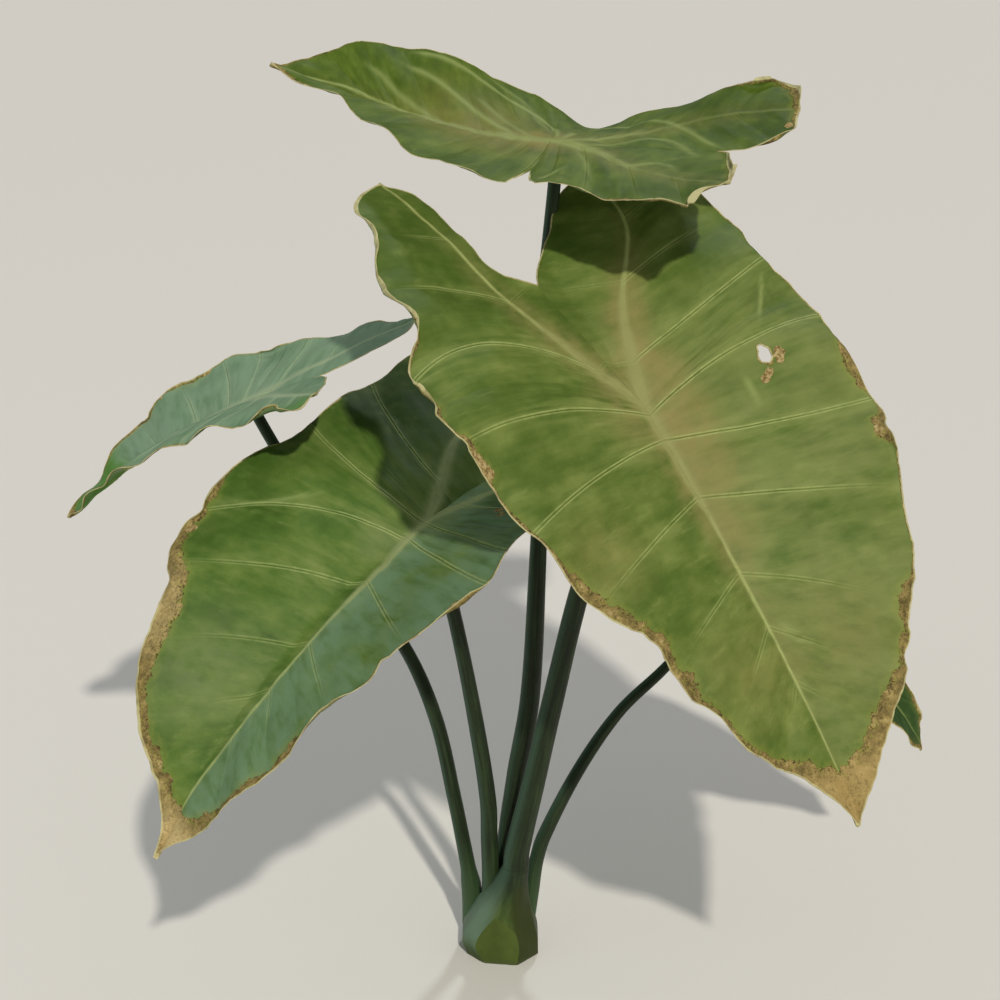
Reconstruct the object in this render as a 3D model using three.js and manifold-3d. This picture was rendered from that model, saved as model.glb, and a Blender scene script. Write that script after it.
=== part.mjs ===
// Elephant ear taro: heart-shaped blades on round petioles that rise from one
// swollen, faceted base cut flat underneath.
// Millimetres, +Z up. The origin is the middle of the base where it rests.
import * as THREE from "three";
import { mergeVertices } from "three/addons/utils/BufferGeometryUtils.js";
import Module from "manifold-3d";

const wasm = await Module();
wasm.setup();

// Driving dimensions
const BLADE_THICKNESS = 0.8;
const MIDRIB_DEPTH = 4.6;
const MIDRIB_TIP_DEPTH = 0.9;
const LOBE_RIB_DEPTH = 3.0;
const LOBE_RIB_END_DEPTH = 0.5;
const VEIN_DEPTH = 1.1;
const RIB_HALF_WIDTH = 4.2;
const RIB_END_HALF_WIDTH = 2.0;
const PUFF = 1.5;
const GAP = 0.3;

// Hub under each blade: its length, how far it flares, and how far below the
// blade's middle its last ring lies
const HUB_LENGTH = 9;
const HUB_FLARE = 2.2;
const HUB_SUNK = 0.6;

const PETIOLE_STEPS = 20;
const PETIOLE_SIDES = 10;

// Where the side veins leave the spine (tip 0, lobe end 1) and where they
// reach the margin (tip 0, lobe end 1). The petiole joins at JUNCTION, just
// after vein number JUNCTION_VEIN. VEIN_EDGE is the half width of a vein there.
const VEIN_START = [0.19, 0.27, 0.35, 0.449, 0.517, 0.568, 0.65, 0.78, 0.89];
const VEIN_END = [0.114, 0.183, 0.262, 0.385, 0.49, 0.574, 0.706, 0.8, 0.876];
const VEIN_EDGE = 0.006;
const VEIN_BOW = 0.035;
const JUNCTION = 0.59;
const JUNCTION_END = 0.605;
const JUNCTION_VEIN = 5;

// Each blade is drawn flat, in mm: u runs from the petiole junction to the tip,
// v to the left of the midrib seen from above. Pairs are left, then right.
// spine: midrib from tip to junction. ribs: from the junction to the lobe ends.
// margins: from tip to lobe end. edges: from lobe end to the sinus corner.
// fold: degrees that each half rises at the lobes, at the junction and near the tip.
// cup: degrees of extra bend in each 100 mm of width.
// arch, back: degrees of droop from the junction to the tip, and to the lobes.
// wave: height of the margin's waves, how many there are, and their phase.
// columns: where a blade is divided between its spine (0) and its margin (1).
const BLADES = {
  front_right: {
    at: [94.2, -52, 459],
    size: 0.991,
    yaw: -50,
    pitch: 42,
    roll: 4,
    twist: 10.6,
    arch: 11,
    back: [30, 30],
    fold: [[25, 25, 25], [7, 7, 7]],
    cup: [-11.8, -3.5],
    columns: [0.24, 0.43, 0.63, 0.83],
    wave: [4.0, 7, 0.4],
    tip: [304, -4],
    spine: [[264, -1], [170, 0], [90, 0]],
    sinus: [-108, -22],
    margins: [
      [[284, 16], [254, 46], [214, 79], [186, 98], [150, 117], [106, 136], [67, 147],
        [23, 150], [-30, 149], [-64, 139], [-95, 143], [-128, 137], [-160, 120]],
      [[292, -10], [264, -27], [234, -57], [194, -75], [156, -86], [119, -110],
        [83, -125], [50, -139], [17, -145], [-25, -158], [-55, -163], [-80, -149],
        [-106, -142], [-122, -148], [-158, -132], [-196, -118], [-214, -102]],
    ],
    lobes: [[-187, 82], [-223, -78]],
    edges: [
      [[-177, 50], [-150, 20], [-125, -8]],
      [[-204, -58], [-170, -51], [-125, -46]],
    ],
    ribs: [
      [[-30, 10], [-72, 28], [-128, 70]],
      [[-50, -29], [-104, -57], [-165, -66]],
    ],
    hole: [[-3, 90], [-1, 98], [4, 104], [8, 97], [12, 94], [8, 86], [2, 87]],
  },
  front_left: {
    at: [-48, -10, 362],
    size: 1.015,
    yaw: -136.2,
    pitch: 15,
    roll: -10.8,
    twist: -12,
    arch: 50,
    back: [11, -4],
    fold: [[25, 25, 25], [24, 24, 24]],
    cup: [7, -24.3],
    columns: [0.24, 0.43, 0.63, 0.83],
    wave: [3.5, 6, 1.2],
    tip: [299, -2],
    spine: [[238, 4], [156, 13], [60, 12]],
    sinus: [-62, 3],
    margins: [
      [[277, 16], [252, 34], [220, 56], [187, 72], [157, 87], [122, 100], [96, 118],
        [63, 134], [30, 133], [0, 129], [-35, 119], [-65, 106], [-92, 94]],
      [[277, -8], [250, -30], [241, -42], [218, -62], [187, -85], [160, -94],
        [139, -112], [106, -125], [67, -129], [18, -126], [-23, -130], [-72, -141],
        [-114, -141], [-145, -128], [-166, -104]],
    ],
    lobes: [[-112, 78], [-172, -72]],
    edges: [
      [[-106, 62], [-92, 46], [-74, 28]],
      [[-162, -40], [-128, -18], [-94, -6]],
    ],
    ribs: [
      [[-18, 14], [-50, 38], [-85, 64]],
      [[-21, -14], [-58, -37], [-125, -58]],
    ],
  },
  top: {
    at: [39.8, 75, 608.4],
    size: 1.018,
    yaw: 162.3,
    pitch: -2.2,
    roll: 0,
    twist: 0,
    arch: -18.6,
    back: [-12, -5],
    fold: [[-15, -10, -2], [25, -2, 39]],
    cup: [7.3, -3.4],
    columns: [0.24, 0.43, 0.63, 0.83],
    wave: [3.0, 6, 2.2],
    tip: [212, 6],
    spine: [[160, -4], [118, 0], [50, 6]],
    sinus: [-110, 1],
    margins: [
      [[190, 11], [174, 13], [150, 22], [125, 44], [84, 76], [60, 86], [21, 99],
        [3, 82], [-34, 88], [-66, 90], [-88, 99], [-100, 94], [-111, 98], [-117, 78]],
      [[202, -8], [187, -25], [165, -45], [138, -55], [93, -62], [59, -76],
        [17, -89], [-30, -92], [-75, -88], [-116, -80], [-133, -90], [-141, -78],
        [-150, -80]],
    ],
    lobes: [[-129, 58], [-156, -52]],
    edges: [
      [[-130, 38], [-124, 17], [-116, 4]],
      [[-156, -26], [-146, -9], [-126, -2]],
    ],
    ribs: [
      [[-30, 14], [-62, 36], [-98, 50]],
      [[-30, -18], [-65, -36], [-110, -46]],
    ],
  },
  back_left: {
    at: [-182, 70, 421],
    size: 1.008,
    yaw: 168.4,
    pitch: 22.3,
    roll: 0,
    twist: 0,
    arch: 26.9,
    back: [0, 0],
    fold: [[3, 5.5, 5], [7, 13, 26]],
    cup: [-8, -1.7],
    columns: [0.36, 0.68],
    wave: [2.5, 6, 0.9],
    tip: [183, -4],
    spine: [[140, 8], [100, 12], [45, 8]],
    sinus: [-55, 2],
    margins: [
      [[166, 10], [140, 27], [108, 42], [70, 56], [34, 62], [10, 74], [-10, 76],
        [-39, 82], [-62, 83]],
      [[166, -18], [147, -17], [125, -33], [96, -49], [75, -58], [42, -76], [0, -78],
        [-40, -72], [-71, -75], [-107, -66]],
    ],
    lobes: [[-77, 62], [-126, -48]],
    edges: [
      [[-76, 42], [-72, 24], [-64, 8]],
      [[-118, -22], [-96, -8], [-72, -2]],
    ],
    ribs: [
      [[-14, 10], [-34, 28], [-56, 46]],
      [[-30, -11], [-60, -27], [-92, -39]],
    ],
  },
  back_right: {
    at: [176, 80, 264],
    size: 1,
    yaw: -25,
    pitch: 9.6,
    roll: 18,
    twist: 0,
    arch: 59.7,
    back: [10, 10],
    fold: [[10, 12, 14], [10, 12, 14]],
    cup: [-9, -9],
    columns: [0.36, 0.68],
    wave: [2.0, 6, 2.9],
    tip: [200, 0],
    spine: [[160, 1], [110, 2], [50, 2]],
    sinus: [-42, 0],
    margins: [
      [[194, 3], [188, 9], [179, 17], [166, 19], [150, 22], [120, 38], [80, 54],
        [34, 64], [-10, 65], [-42, 61], [-70, 52]],
      [[195, -4], [188, -10], [176, -14], [163, -18], [140, -29], [115, -42], [80, -54],
        [34, -64], [-10, -67], [-42, -62], [-69, -53]],
    ],
    lobes: [[-88, 34], [-86, -36]],
    edges: [
      [[-82, 18], [-68, 7], [-54, 2]],
      [[-80, -18], [-67, -7], [-54, -2]],
    ],
    ribs: [
      [[-22, 9], [-44, 20], [-66, 29]],
      [[-22, -9], [-44, -20], [-66, -29]],
    ],
  },
};

// Petiole centre lines from the base up, and radius by share of the length.
// The last point lies just under the blade's hub.
const PETIOLES = {
  front_right: {
    path: [[12, -12, 80.3], [13, -12, 94], [25, -15, 155], [38, -18, 223],
      [54, -25, 306], [68, -32, 364], [84, -44, 420]],
    radii: [[0, 9.8], [0.08, 9.0], [0.2, 8.3], [0.4, 7.7], [0.75, 6.6], [1, 6.0]],
  },
  front_left: {
    path: [[-8, 0, 16], [-7, 0, 60], [-8, -1, 95], [-9, -2, 131], [-18, -4, 200],
      [-30, -7, 272], [-41, -10, 325]],
    radii: [[0, 7.0], [0.2, 6.6], [0.4, 6.2], [0.7, 5.4], [1, 5.0]],
  },
  top: {
    path: [[4, 11, 16], [4, 11, 72], [12, 14, 140], [22, 18, 205], [27, 27, 304],
      [30, 41, 404], [30.5, 58, 500], [33, 71, 570]],
    radii: [[0, 7.6], [0.33, 7.4], [0.67, 5.3], [1, 4.5]],
  },
  back_left: {
    path: [[-21, 12, 16], [-21.5, 12, 40], [-24, 12.5, 60], [-28.3, 14, 86],
      [-34.2, 17, 119], [-48, 26, 184], [-70, 36, 237], [-125, 54, 318],
      [-163, 65, 382]],
    radii: [[0, 8.2], [0.07, 7.8], [0.11, 6.0], [0.35, 5.5], [0.7, 4.6], [1, 4.2]],
  },
  back_right: {
    path: [[21, 7, 16], [24.5, 8.5, 44], [27.6, 11, 68], [34, 14.5, 90],
      [61, 30, 140], [91, 45, 180], [124, 59, 208], [158, 73, 238]],
    radii: [[0, 5.7], [0.15, 5.6], [0.35, 5.1], [0.6, 4.4], [1, 3.2]],
  },
};

// Swollen base: height, centre x, centre y, half width x, half width y, turn
const BASE_RINGS = [
  [0, 2, 0, 29.5, 28, 0],
  [16, 0, -1, 31, 29.5, 0],
  [43, 3, -3, 21, 21, 7],
  [63, 7.8, -8, 14, 13.5, 25],
  [80, 12, -12, 10.2, 10.2, 40],
];
const BASE_SIDES = 8;

const radians = (d) => (d * Math.PI) / 180;
const mix = (a, b, t) => a + (b - a) * t;
const ease = (t) => {
  const c = Math.min(1, Math.max(0, t));
  return c * c * (3 - 2 * c);
};

// A smooth run of points, read by its share of chord length
function curve(points) {
  const at = [0];
  for (let i = 1; i < points.length; i++) {
    const d = Math.hypot(...points[i].map((c, k) => c - points[i - 1][k]));
    at.push(at[i - 1] + d);
  }
  const slope = points.map((p, i) => {
    const a = Math.max(0, i - 1);
    const b = Math.min(points.length - 1, i + 1);
    return p.map((_, k) => (points[b][k] - points[a][k]) / (at[b] - at[a]));
  });
  return (share) => {
    const s = share * at[at.length - 1];
    let i = 0;
    while (i < points.length - 2 && s > at[i + 1]) i++;
    const h = at[i + 1] - at[i];
    const t = (s - at[i]) / h;
    const t2 = t * t;
    const t3 = t2 * t;
    return points[i].map(
      (p, k) =>
        p * (2 * t3 - 3 * t2 + 1) +
        slope[i][k] * h * (t3 - 2 * t2 + t) +
        points[i + 1][k] * (3 * t2 - 2 * t3) +
        slope[i + 1][k] * h * (t3 - t2),
    );
  };
}

// The fold has its lobe or tip value at these shares of the lobe and the reach,
// and the droops of the two lobes run into each other over BACK_BLEND of it.
const FOLD_AT_TIP = 0.6;
const FOLD_AT_LOBE = 0.83;
const BACK_BLEND = 0.24;

// Takes a point of the flat drawing to its place in space
function bend(leaf, u, v) {
  const side = v >= 0 ? 0 : 1;
  const reach = leaf.tip[0];
  const lobe = Math.abs(leaf.lobes[side][0]);
  const [atLobe, atJunction, atTip] = leaf.fold[side];
  const fold = radians(
    u > 0
      ? mix(atJunction, atTip, ease(u / (FOLD_AT_TIP * reach)))
      : mix(atJunction, atLobe, ease(-u / (FOLD_AT_LOBE * lobe))),
  );
  const k = radians(leaf.cup[side]) / 100;
  const width = Math.abs(v);
  let y = ((Math.sin(fold + k * width) - Math.sin(fold)) / k) * (v < 0 ? -1 : 1);
  let z = (Math.cos(fold) - Math.cos(fold + k * width)) / k;
  const twist = radians(leaf.twist) * (u / reach);
  [y, z] = [
    y * Math.cos(twist) - z * Math.sin(twist),
    y * Math.sin(twist) + z * Math.cos(twist),
  ];
  const back = mix(leaf.back[1], leaf.back[0], ease(v / (BACK_BLEND * reach) + 0.5));
  let bow = radians(u < 0 ? back : leaf.arch) / reach;
  if (Math.abs(bow) < 1e-6) bow = 1e-6;
  const turn = bow * Math.abs(u);
  const way = u < 0 ? -1 : 1;
  const p = new THREE.Vector3(
    way * (Math.sin(turn) / bow + z * Math.sin(turn)),
    y,
    -(1 - Math.cos(turn)) / bow + z * Math.cos(turn),
  );
  p.applyAxisAngle(new THREE.Vector3(1, 0, 0), radians(leaf.roll));
  p.applyAxisAngle(new THREE.Vector3(0, 1, 0), radians(leaf.pitch));
  p.applyAxisAngle(new THREE.Vector3(0, 0, 1), radians(leaf.yaw));
  return p.multiplyScalar(leaf.size).add(new THREE.Vector3(...leaf.at));
}

// Rows from tip to lobe end: on each side vein, just beside it and halfway
// to the next, with the share of the spine and of the margin they join.
function bladeRows() {
  const rows = [{ s: 0, m: 0, vein: 0 }];
  const between = (s, m, nextS, nextM, t) =>
    rows.push({ s: mix(s, nextS, t), m: mix(m, nextM, t), vein: 0, puff: 1 });
  between(0, 0, VEIN_START[0], VEIN_END[0], 0.33);
  between(0, 0, VEIN_START[0], VEIN_END[0], 0.66);
  VEIN_START.forEach((s, i) => {
    const m = VEIN_END[i];
    rows.push({ s: s - VEIN_EDGE, m: m - VEIN_EDGE, vein: 0 });
    rows.push({ s, m, vein: 1 });
    rows.push({ s: s + VEIN_EDGE, m: m + VEIN_EDGE, vein: 0 });
    const nextS = VEIN_START[i + 1] ?? 1;
    const nextM = VEIN_END[i + 1] ?? 1;
    if (i === JUNCTION_VEIN) {
      rows.push({ s: JUNCTION, m: JUNCTION_END, vein: 0, junction: true });
      between(JUNCTION, JUNCTION_END, nextS, nextM, 0.5);
    } else {
      between(s, m, nextS, nextM, 0.5);
    }
  });
  rows.push({ s: 1, m: 1, vein: 0 });
  return rows;
}

// The strip between lobe rib and sinus: how far along the lobe the sinus
// corner's row is, and where the strip is divided
const CORNER_SHARE = 0.42;
const STRIP_RIB = 0.3;
const STRIP_MIDDLE = 0.65;

// One blade as a sheet of shared flat points, its triangles and the rib depth
function bladeSheet(leaf) {
  const points = [];
  const depth = [];
  const lift = [];
  const triangles = [];
  const keys = new Map();
  const put = (p, ridge, rise) => {
    const key = p.map((c) => c.toFixed(3)).join();
    if (!keys.has(key)) {
      keys.set(key, points.length);
      points.push(p);
      depth.push(ridge);
      lift.push(rise);
    }
    return keys.get(key);
  };
  const stitch = (a, b, flip) => {
    for (let j = 0; j < a.length - 1; j++) {
      const quad = [a[j], a[j + 1], b[j + 1], b[j]];
      for (const tri of [[0, 1, 2], [0, 2, 3]]) {
        const t = tri.map((k) => quad[k]);
        if (new Set(t).size < 3) continue;
        triangles.push(flip ? [t[0], t[2], t[1]] : t);
      }
    }
  };
  const rows = bladeRows();
  const junction = rows.findIndex((r) => r.junction);
  const ribRows = rows.length - 1 - junction;
  const corner = Math.round(ribRows * CORNER_SHARE);
  for (const side of [0, 1]) {
    const mainRib = curve([leaf.tip, ...leaf.spine, [0, 0]]);
    const lobeRib = curve([[0, 0], ...leaf.ribs[side], leaf.lobes[side]]);
    const margin = curve([leaf.tip, ...leaf.margins[side], leaf.lobes[side]]);
    const edge = curve([leaf.sinus, ...[...leaf.edges[side]].reverse(), leaf.lobes[side]]);
    const onSpine = (s) =>
      s <= JUNCTION
        ? mainRib(s / JUNCTION)
        : lobeRib((s - JUNCTION) / (1 - JUNCTION));
    const [amplitude, waves, phase] = leaf.wave;
    let before = null;
    let beforeInner = null;
    rows.forEach((row, i) => {
      const from = onSpine(row.s);
      const to = margin(row.m);
      const length = Math.hypot(to[0] - from[0], to[1] - from[1]);
      const ribDepth =
        row.s <= JUNCTION
          ? mix(MIDRIB_TIP_DEPTH, MIDRIB_DEPTH, row.s / JUNCTION)
          : mix(LOBE_RIB_DEPTH, LOBE_RIB_END_DEPTH, (row.s - JUNCTION) / (1 - JUNCTION));
      const fromHub = Math.abs(row.s - JUNCTION) / JUNCTION;
      const ribWidth = mix(RIB_HALF_WIDTH, RIB_END_HALF_WIDTH, fromHub);
      const first = Math.min(0.13, ribWidth / Math.max(length, 1));
      const now = [0, first, ...leaf.columns, 1].map((c, j) => {
        const arc = 4 * c * (1 - c) * VEIN_BOW * length;
        const p = [mix(from[0], to[0], c) - arc, mix(from[1], to[1], c)];
        const vein = row.vein * VEIN_DEPTH * (1 - 0.8 * c);
        const wave = amplitude * c * c * c * Math.sin(2 * Math.PI * waves * row.m + phase);
        const rise = (row.puff ? PUFF * Math.sin(Math.PI * c) : 0) + wave;
        return put(p, j === 0 ? ribDepth : vein, i === 0 ? 0 : rise);
      });
      if (before) stitch(before, now, side === 1);
      before = now;
      if (i < junction) return;
      const q = i - junction;
      const inner =
        q <= corner
          ? [(leaf.sinus[0] * q) / corner, (leaf.sinus[1] * q) / corner]
          : edge((q - corner) / (ribRows - corner));
      const gap = Math.hypot(inner[0] - from[0], inner[1] - from[1]);
      const start = Math.min(STRIP_RIB, ribWidth / Math.max(gap, 1));
      const nowInner = [0, start, STRIP_MIDDLE, 1].map((c, j) =>
        put(
          [mix(from[0], inner[0], c), mix(from[1], inner[1], c)],
          j === 0 ? ribDepth : 0,
          row.puff && j === 2 ? PUFF * 0.6 : 0,
        ),
      );
      if (beforeInner) stitch(beforeInner, nowInner, side === 0);
      beforeInner = nowInner;
    });
  }
  return { points, depth, lift, triangles };
}

function vertexNormals(positions, triangles) {
  const normals = positions.map(() => new THREE.Vector3());
  for (const [a, b, c] of triangles) {
    const ab = positions[b].clone().sub(positions[a]);
    const ac = positions[c].clone().sub(positions[a]);
    const n = ab.cross(ac);
    normals[a].add(n);
    normals[b].add(n);
    normals[c].add(n);
  }
  return normals.map((n) => n.normalize());
}

// Gives the sheet its thickness and the ribs under it
function thicken(sheet, positions) {
  const { triangles, depth } = sheet;
  const normals = vertexNormals(positions, triangles);
  const count = positions.length;
  const vertices = new Float32Array(count * 6);
  positions.forEach((p, i) => {
    const top = p.clone().addScaledVector(normals[i], BLADE_THICKNESS / 2);
    const under = p.clone().addScaledVector(normals[i], -BLADE_THICKNESS / 2 - depth[i]);
    vertices.set(top.toArray(), i * 3);
    vertices.set(under.toArray(), (count + i) * 3);
  });
  const faces = [];
  const open = new Map();
  for (const [a, b, c] of triangles) {
    faces.push([a, b, c], [count + a, count + c, count + b]);
    for (const [p, q] of [[a, b], [b, c], [c, a]]) {
      if (open.has(q + "," + p)) open.delete(q + "," + p);
      else open.set(p + "," + q, [p, q]);
    }
  }
  for (const [p, q] of open.values()) {
    faces.push([q, p, count + p], [q, count + p, count + q]);
  }
  return { vertices, faces };
}

function solid({ vertices, faces }) {
  const mesh = new wasm.Mesh({
    numProp: 3,
    vertProperties: vertices,
    triVerts: new Uint32Array(faces.flat()),
  });
  return new wasm.Manifold(mesh);
}

// Rings joined into a closed tube, flat at both ends
function skin(rings) {
  const sides = rings[0].length;
  const vertices = [];
  const faces = [];
  rings.forEach((ring) => ring.forEach((p) => vertices.push(...p.toArray())));
  for (let i = 0; i < rings.length - 1; i++) {
    for (let j = 0; j < sides; j++) {
      const a = i * sides + j;
      const b = i * sides + ((j + 1) % sides);
      faces.push([a, b, a + sides], [b, b + sides, a + sides]);
    }
  }
  const last = (rings.length - 1) * sides;
  for (let j = 1; j < sides - 1; j++) {
    faces.push([0, j + 1, j], [last, last + j, last + j + 1]);
  }
  return solid({ vertices: new Float32Array(vertices), faces });
}

// Direction in which the petiole meets the underside of its blade: its own
// rise, leaning toward the blade's face by HUB_LEAN
const HUB_LEAN = 0.6;
function hubDirection(name) {
  const leaf = BLADES[name];
  const path = PETIOLES[name].path;
  const rise = new THREE.Vector3(...leaf.at)
    .sub(new THREE.Vector3(...path[path.length - 1]))
    .normalize();
  const a = bend(leaf, 12, 0).sub(bend(leaf, -12, 0));
  const b = bend(leaf, 0, 12).sub(bend(leaf, 0, -12));
  const face = a.cross(b).normalize();
  return rise.addScaledVector(face, HUB_LEAN).normalize();
}

// A ring of points round an axis
function ringAt(centre, axis, side, radius, sides) {
  const other = axis.clone().cross(side);
  const ring = [];
  for (let j = 0; j < sides; j++) {
    const a = (2 * Math.PI * j) / sides;
    const p = centre.clone().addScaledVector(side, radius * Math.cos(a));
    ring.push(p.addScaledVector(other, radius * Math.sin(a)));
  }
  return ring;
}

// A petiole's rings, closer together at the foot, made larger by extra. It runs
// straight for the last STRAIGHT mm before the hub.
const STRAIGHT = 14;
const FOOT_CROWDING = 0.35;
const TANGENT_STEP = 0.004;
function petioleRings(name, extra) {
  const { path, radii } = PETIOLES[name];
  const way = hubDirection(name);
  const end = new THREE.Vector3(...BLADES[name].at).addScaledVector(way, -HUB_LENGTH - GAP);
  const before = end.clone().addScaledVector(way, -STRAIGHT);
  const run = curve([...path, before.toArray(), end.toArray()]);
  const radius = curve(radii.map(([share, r]) => [share * 1000, r]));
  const rings = [];
  let side = new THREE.Vector3(1, 0, 0);
  for (let i = 0; i <= PETIOLE_STEPS; i++) {
    const even = i / PETIOLE_STEPS;
    const t = mix(even, even ** 2, FOOT_CROWDING);
    const at = new THREE.Vector3(...run(t));
    let axis = new THREE.Vector3(0, 0, 1);
    if (i === 0) {
      at.z -= extra;
    } else if (i === PETIOLE_STEPS) {
      axis = way.clone();
    } else {
      const after = new THREE.Vector3(...run(t + TANGENT_STEP));
      axis = after.sub(new THREE.Vector3(...run(t - TANGENT_STEP))).normalize();
    }
    side = side.addScaledVector(axis, -side.dot(axis)).normalize();
    rings.push(ringAt(at, axis, side, radius(t)[1] + extra, PETIOLE_SIDES));
  }
  return rings;
}

// Short collar under the blade that the petiole meets face to face
function hub(name) {
  const way = hubDirection(name);
  const top = PETIOLES[name].radii.at(-1)[1];
  let side = new THREE.Vector3(1, 0, 0);
  side = side.addScaledVector(way, -side.dot(way)).normalize();
  const profile = [
    [-HUB_LENGTH, top],
    [-HUB_LENGTH * 0.4, top + HUB_FLARE * 0.2],
    [-HUB_SUNK, top + HUB_FLARE],
  ];
  const rings = profile.map(([along, radius]) => {
    const centre = new THREE.Vector3(...BLADES[name].at).addScaledVector(way, along);
    return ringAt(centre, way, side, radius, PETIOLE_SIDES);
  });
  return skin(rings);
}

// A straight punch through the blade, with the outline of its torn hole
const PUNCH_REACH = 12;
function punch(leaf) {
  const [u, v] = leaf.hole[0];
  const rim = leaf.hole.map((p) => bend(leaf, ...p));
  const along = bend(leaf, u + 1, v).sub(rim[0]);
  const across = bend(leaf, u, v + 1).sub(rim[0]);
  const out = along.cross(across).normalize();
  const rings = [PUNCH_REACH, -PUNCH_REACH].map((d) =>
    rim.map((p) => p.clone().addScaledVector(out, d)),
  );
  return skin(rings);
}

function blade(name) {
  const leaf = BLADES[name];
  const sheet = bladeSheet(leaf);
  const flat = sheet.points.map(([u, v]) => bend(leaf, u, v));
  const normals = vertexNormals(flat, sheet.triangles);
  const waved = flat.map((p, i) => p.clone().addScaledVector(normals[i], sheet.lift[i]));
  const body = solid(thicken(sheet, waved)).add(hub(name));
  return leaf.hole ? body.subtract(punch(leaf)) : body;
}

// Base with a socket for each petiole that rises through it
function base() {
  const up = new THREE.Vector3(0, 0, 1);
  const rings = BASE_RINGS.map(([z, x, y, a, b, turn]) => {
    const angle = radians(turn + 180 / BASE_SIDES);
    const side = new THREE.Vector3(Math.cos(angle), Math.sin(angle), 0);
    const unit = ringAt(new THREE.Vector3(), up, side, 1, BASE_SIDES);
    return unit.map((p) => new THREE.Vector3(x + a * p.x, y + b * p.y, z));
  });
  let body = skin(rings);
  for (const name of Object.keys(PETIOLES)) {
    body = body.subtract(skin(petioleRings(name, GAP)));
  }
  const pieces = body.decompose().sort((a, b) => b.volume() - a.volume());
  return pieces[0];
}

function toMesh(name, body, color, roughness) {
  const m = body.getMesh();
  const position = new Float32Array(m.numVert * 3);
  for (let i = 0; i < m.numVert; i++) {
    for (let k = 0; k < 3; k++) position[i * 3 + k] = m.vertProperties[i * m.numProp + k];
  }
  const geometry = new THREE.BufferGeometry();
  geometry.setAttribute("position", new THREE.BufferAttribute(position, 3));
  geometry.setIndex(new THREE.BufferAttribute(new Uint32Array(m.triVerts), 1));
  const clean = mergeVertices(geometry, 1e-3);
  clean.computeVertexNormals();
  const material = new THREE.MeshStandardMaterial({ color, roughness, metalness: 0 });
  const mesh = new THREE.Mesh(clean, material);
  mesh.name = name;
  return mesh;
}

const BASE_COLOR = 0x54713f;
const PETIOLE_COLOR = 0x33594a;
const BLADE_COLORS = {
  front_right: 0x6b8a3d,
  front_left: 0x5f8040,
  top: 0x5c7d34,
  back_left: 0x5e8a70,
  back_right: 0x3f6132,
};

const root = new THREE.Group();
root.name = "elephant_ear_taro";
root.add(toMesh("base", base(), BASE_COLOR, 0.6));
for (const name of Object.keys(BLADES)) {
  const stalk = skin(petioleRings(name, 0));
  root.add(toMesh("petiole_" + name, stalk, PETIOLE_COLOR, 0.55));
  root.add(toMesh("leaf_" + name, blade(name), BLADE_COLORS[name], 0.5));
}

export default root;
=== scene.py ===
import math
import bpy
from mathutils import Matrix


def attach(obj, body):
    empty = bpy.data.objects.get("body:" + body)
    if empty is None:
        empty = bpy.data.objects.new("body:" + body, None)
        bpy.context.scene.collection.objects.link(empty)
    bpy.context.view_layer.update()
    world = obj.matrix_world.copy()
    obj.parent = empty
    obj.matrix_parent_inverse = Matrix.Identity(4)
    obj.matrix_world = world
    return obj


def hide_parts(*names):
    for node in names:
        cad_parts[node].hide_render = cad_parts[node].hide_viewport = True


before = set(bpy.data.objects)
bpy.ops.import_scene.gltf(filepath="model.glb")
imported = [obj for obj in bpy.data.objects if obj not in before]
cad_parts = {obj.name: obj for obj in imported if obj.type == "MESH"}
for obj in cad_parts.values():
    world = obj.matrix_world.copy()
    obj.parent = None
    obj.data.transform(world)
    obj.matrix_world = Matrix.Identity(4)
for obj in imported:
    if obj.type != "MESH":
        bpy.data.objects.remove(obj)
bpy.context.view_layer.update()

from types import SimpleNamespace

import bpy
import numpy as np
from mathutils import Vector

# Elephant ear taro: blades with side veins, ribs, waved and partly dried
# margins, on round petioles that rise from one swollen base.
# Flat drawings and paths are in millimetres; MM takes them to metres.
MM = 0.001

# The photograph's camera
FIELD_OF_VIEW = 30
CAMERA_ELEVATION = 22
CAMERA_DISTANCE = 1.306
AIM_HEIGHT = 0.3717
SENSOR_WIDTH = 36

# Blade thickness, and the ribs and veins under it
BLADE_THICKNESS = 0.8
RIM_THICKNESS = 0.5
MIDRIB_DEPTH = 4.6
MIDRIB_TIP_DEPTH = 0.9
LOBE_RIB_DEPTH = 3.0
LOBE_RIB_END_DEPTH = 0.5
VEIN_DEPTH = 1.1
VEIN_HALF_WIDTH = 1.9
RIB_HALF_WIDTH = 4.2
RIB_END_HALF_WIDTH = 2.0
PUFF = 1.5
SINUS_EDGE_DRY = 0.9

# The margin rolls over its last few millimetres: a little everywhere, and by
# the degrees of the drawing's curls where it has dried
CURL_DEPTH = 7.0
LOOSE_CURL = 10
UNEVEN_CURL = 16

# Hub under each blade, where the petiole spreads into the ribs
HUB_LENGTH = 9
HUB_FLARE = 2.2
HUB_SUNK = 0.6
HUB_GAP = 0.3
HUB_LEAN = 0.2
STRAIGHT = 20
END_DEPTH = 0.15
JUNCTION_REACH = 12

# Rings and sides of a petiole, crowded toward its foot, which is sunk in the base
PETIOLE_RINGS = 110
HUB_RINGS = 9
PETIOLE_SIDES = 32
FOOT_CROWDING = 0.35
SUNK_FOOT = 3

# Where the side veins leave the spine (tip 0, lobe end 1), and where they reach the
# margin unless a blade's own list says otherwise
VEIN_START = [0.19, 0.265, 0.34, 0.45, 0.537, 0.575, 0.655, 0.78, 0.89]
VEIN_END = [0.114, 0.183, 0.262, 0.385, 0.49, 0.574, 0.706, 0.8, 0.876]
VEIN_EDGE = 0.006
JUNCTION = 0.59
CORNER_VEIN = 7
JUNCTION_END = 0.64

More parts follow.
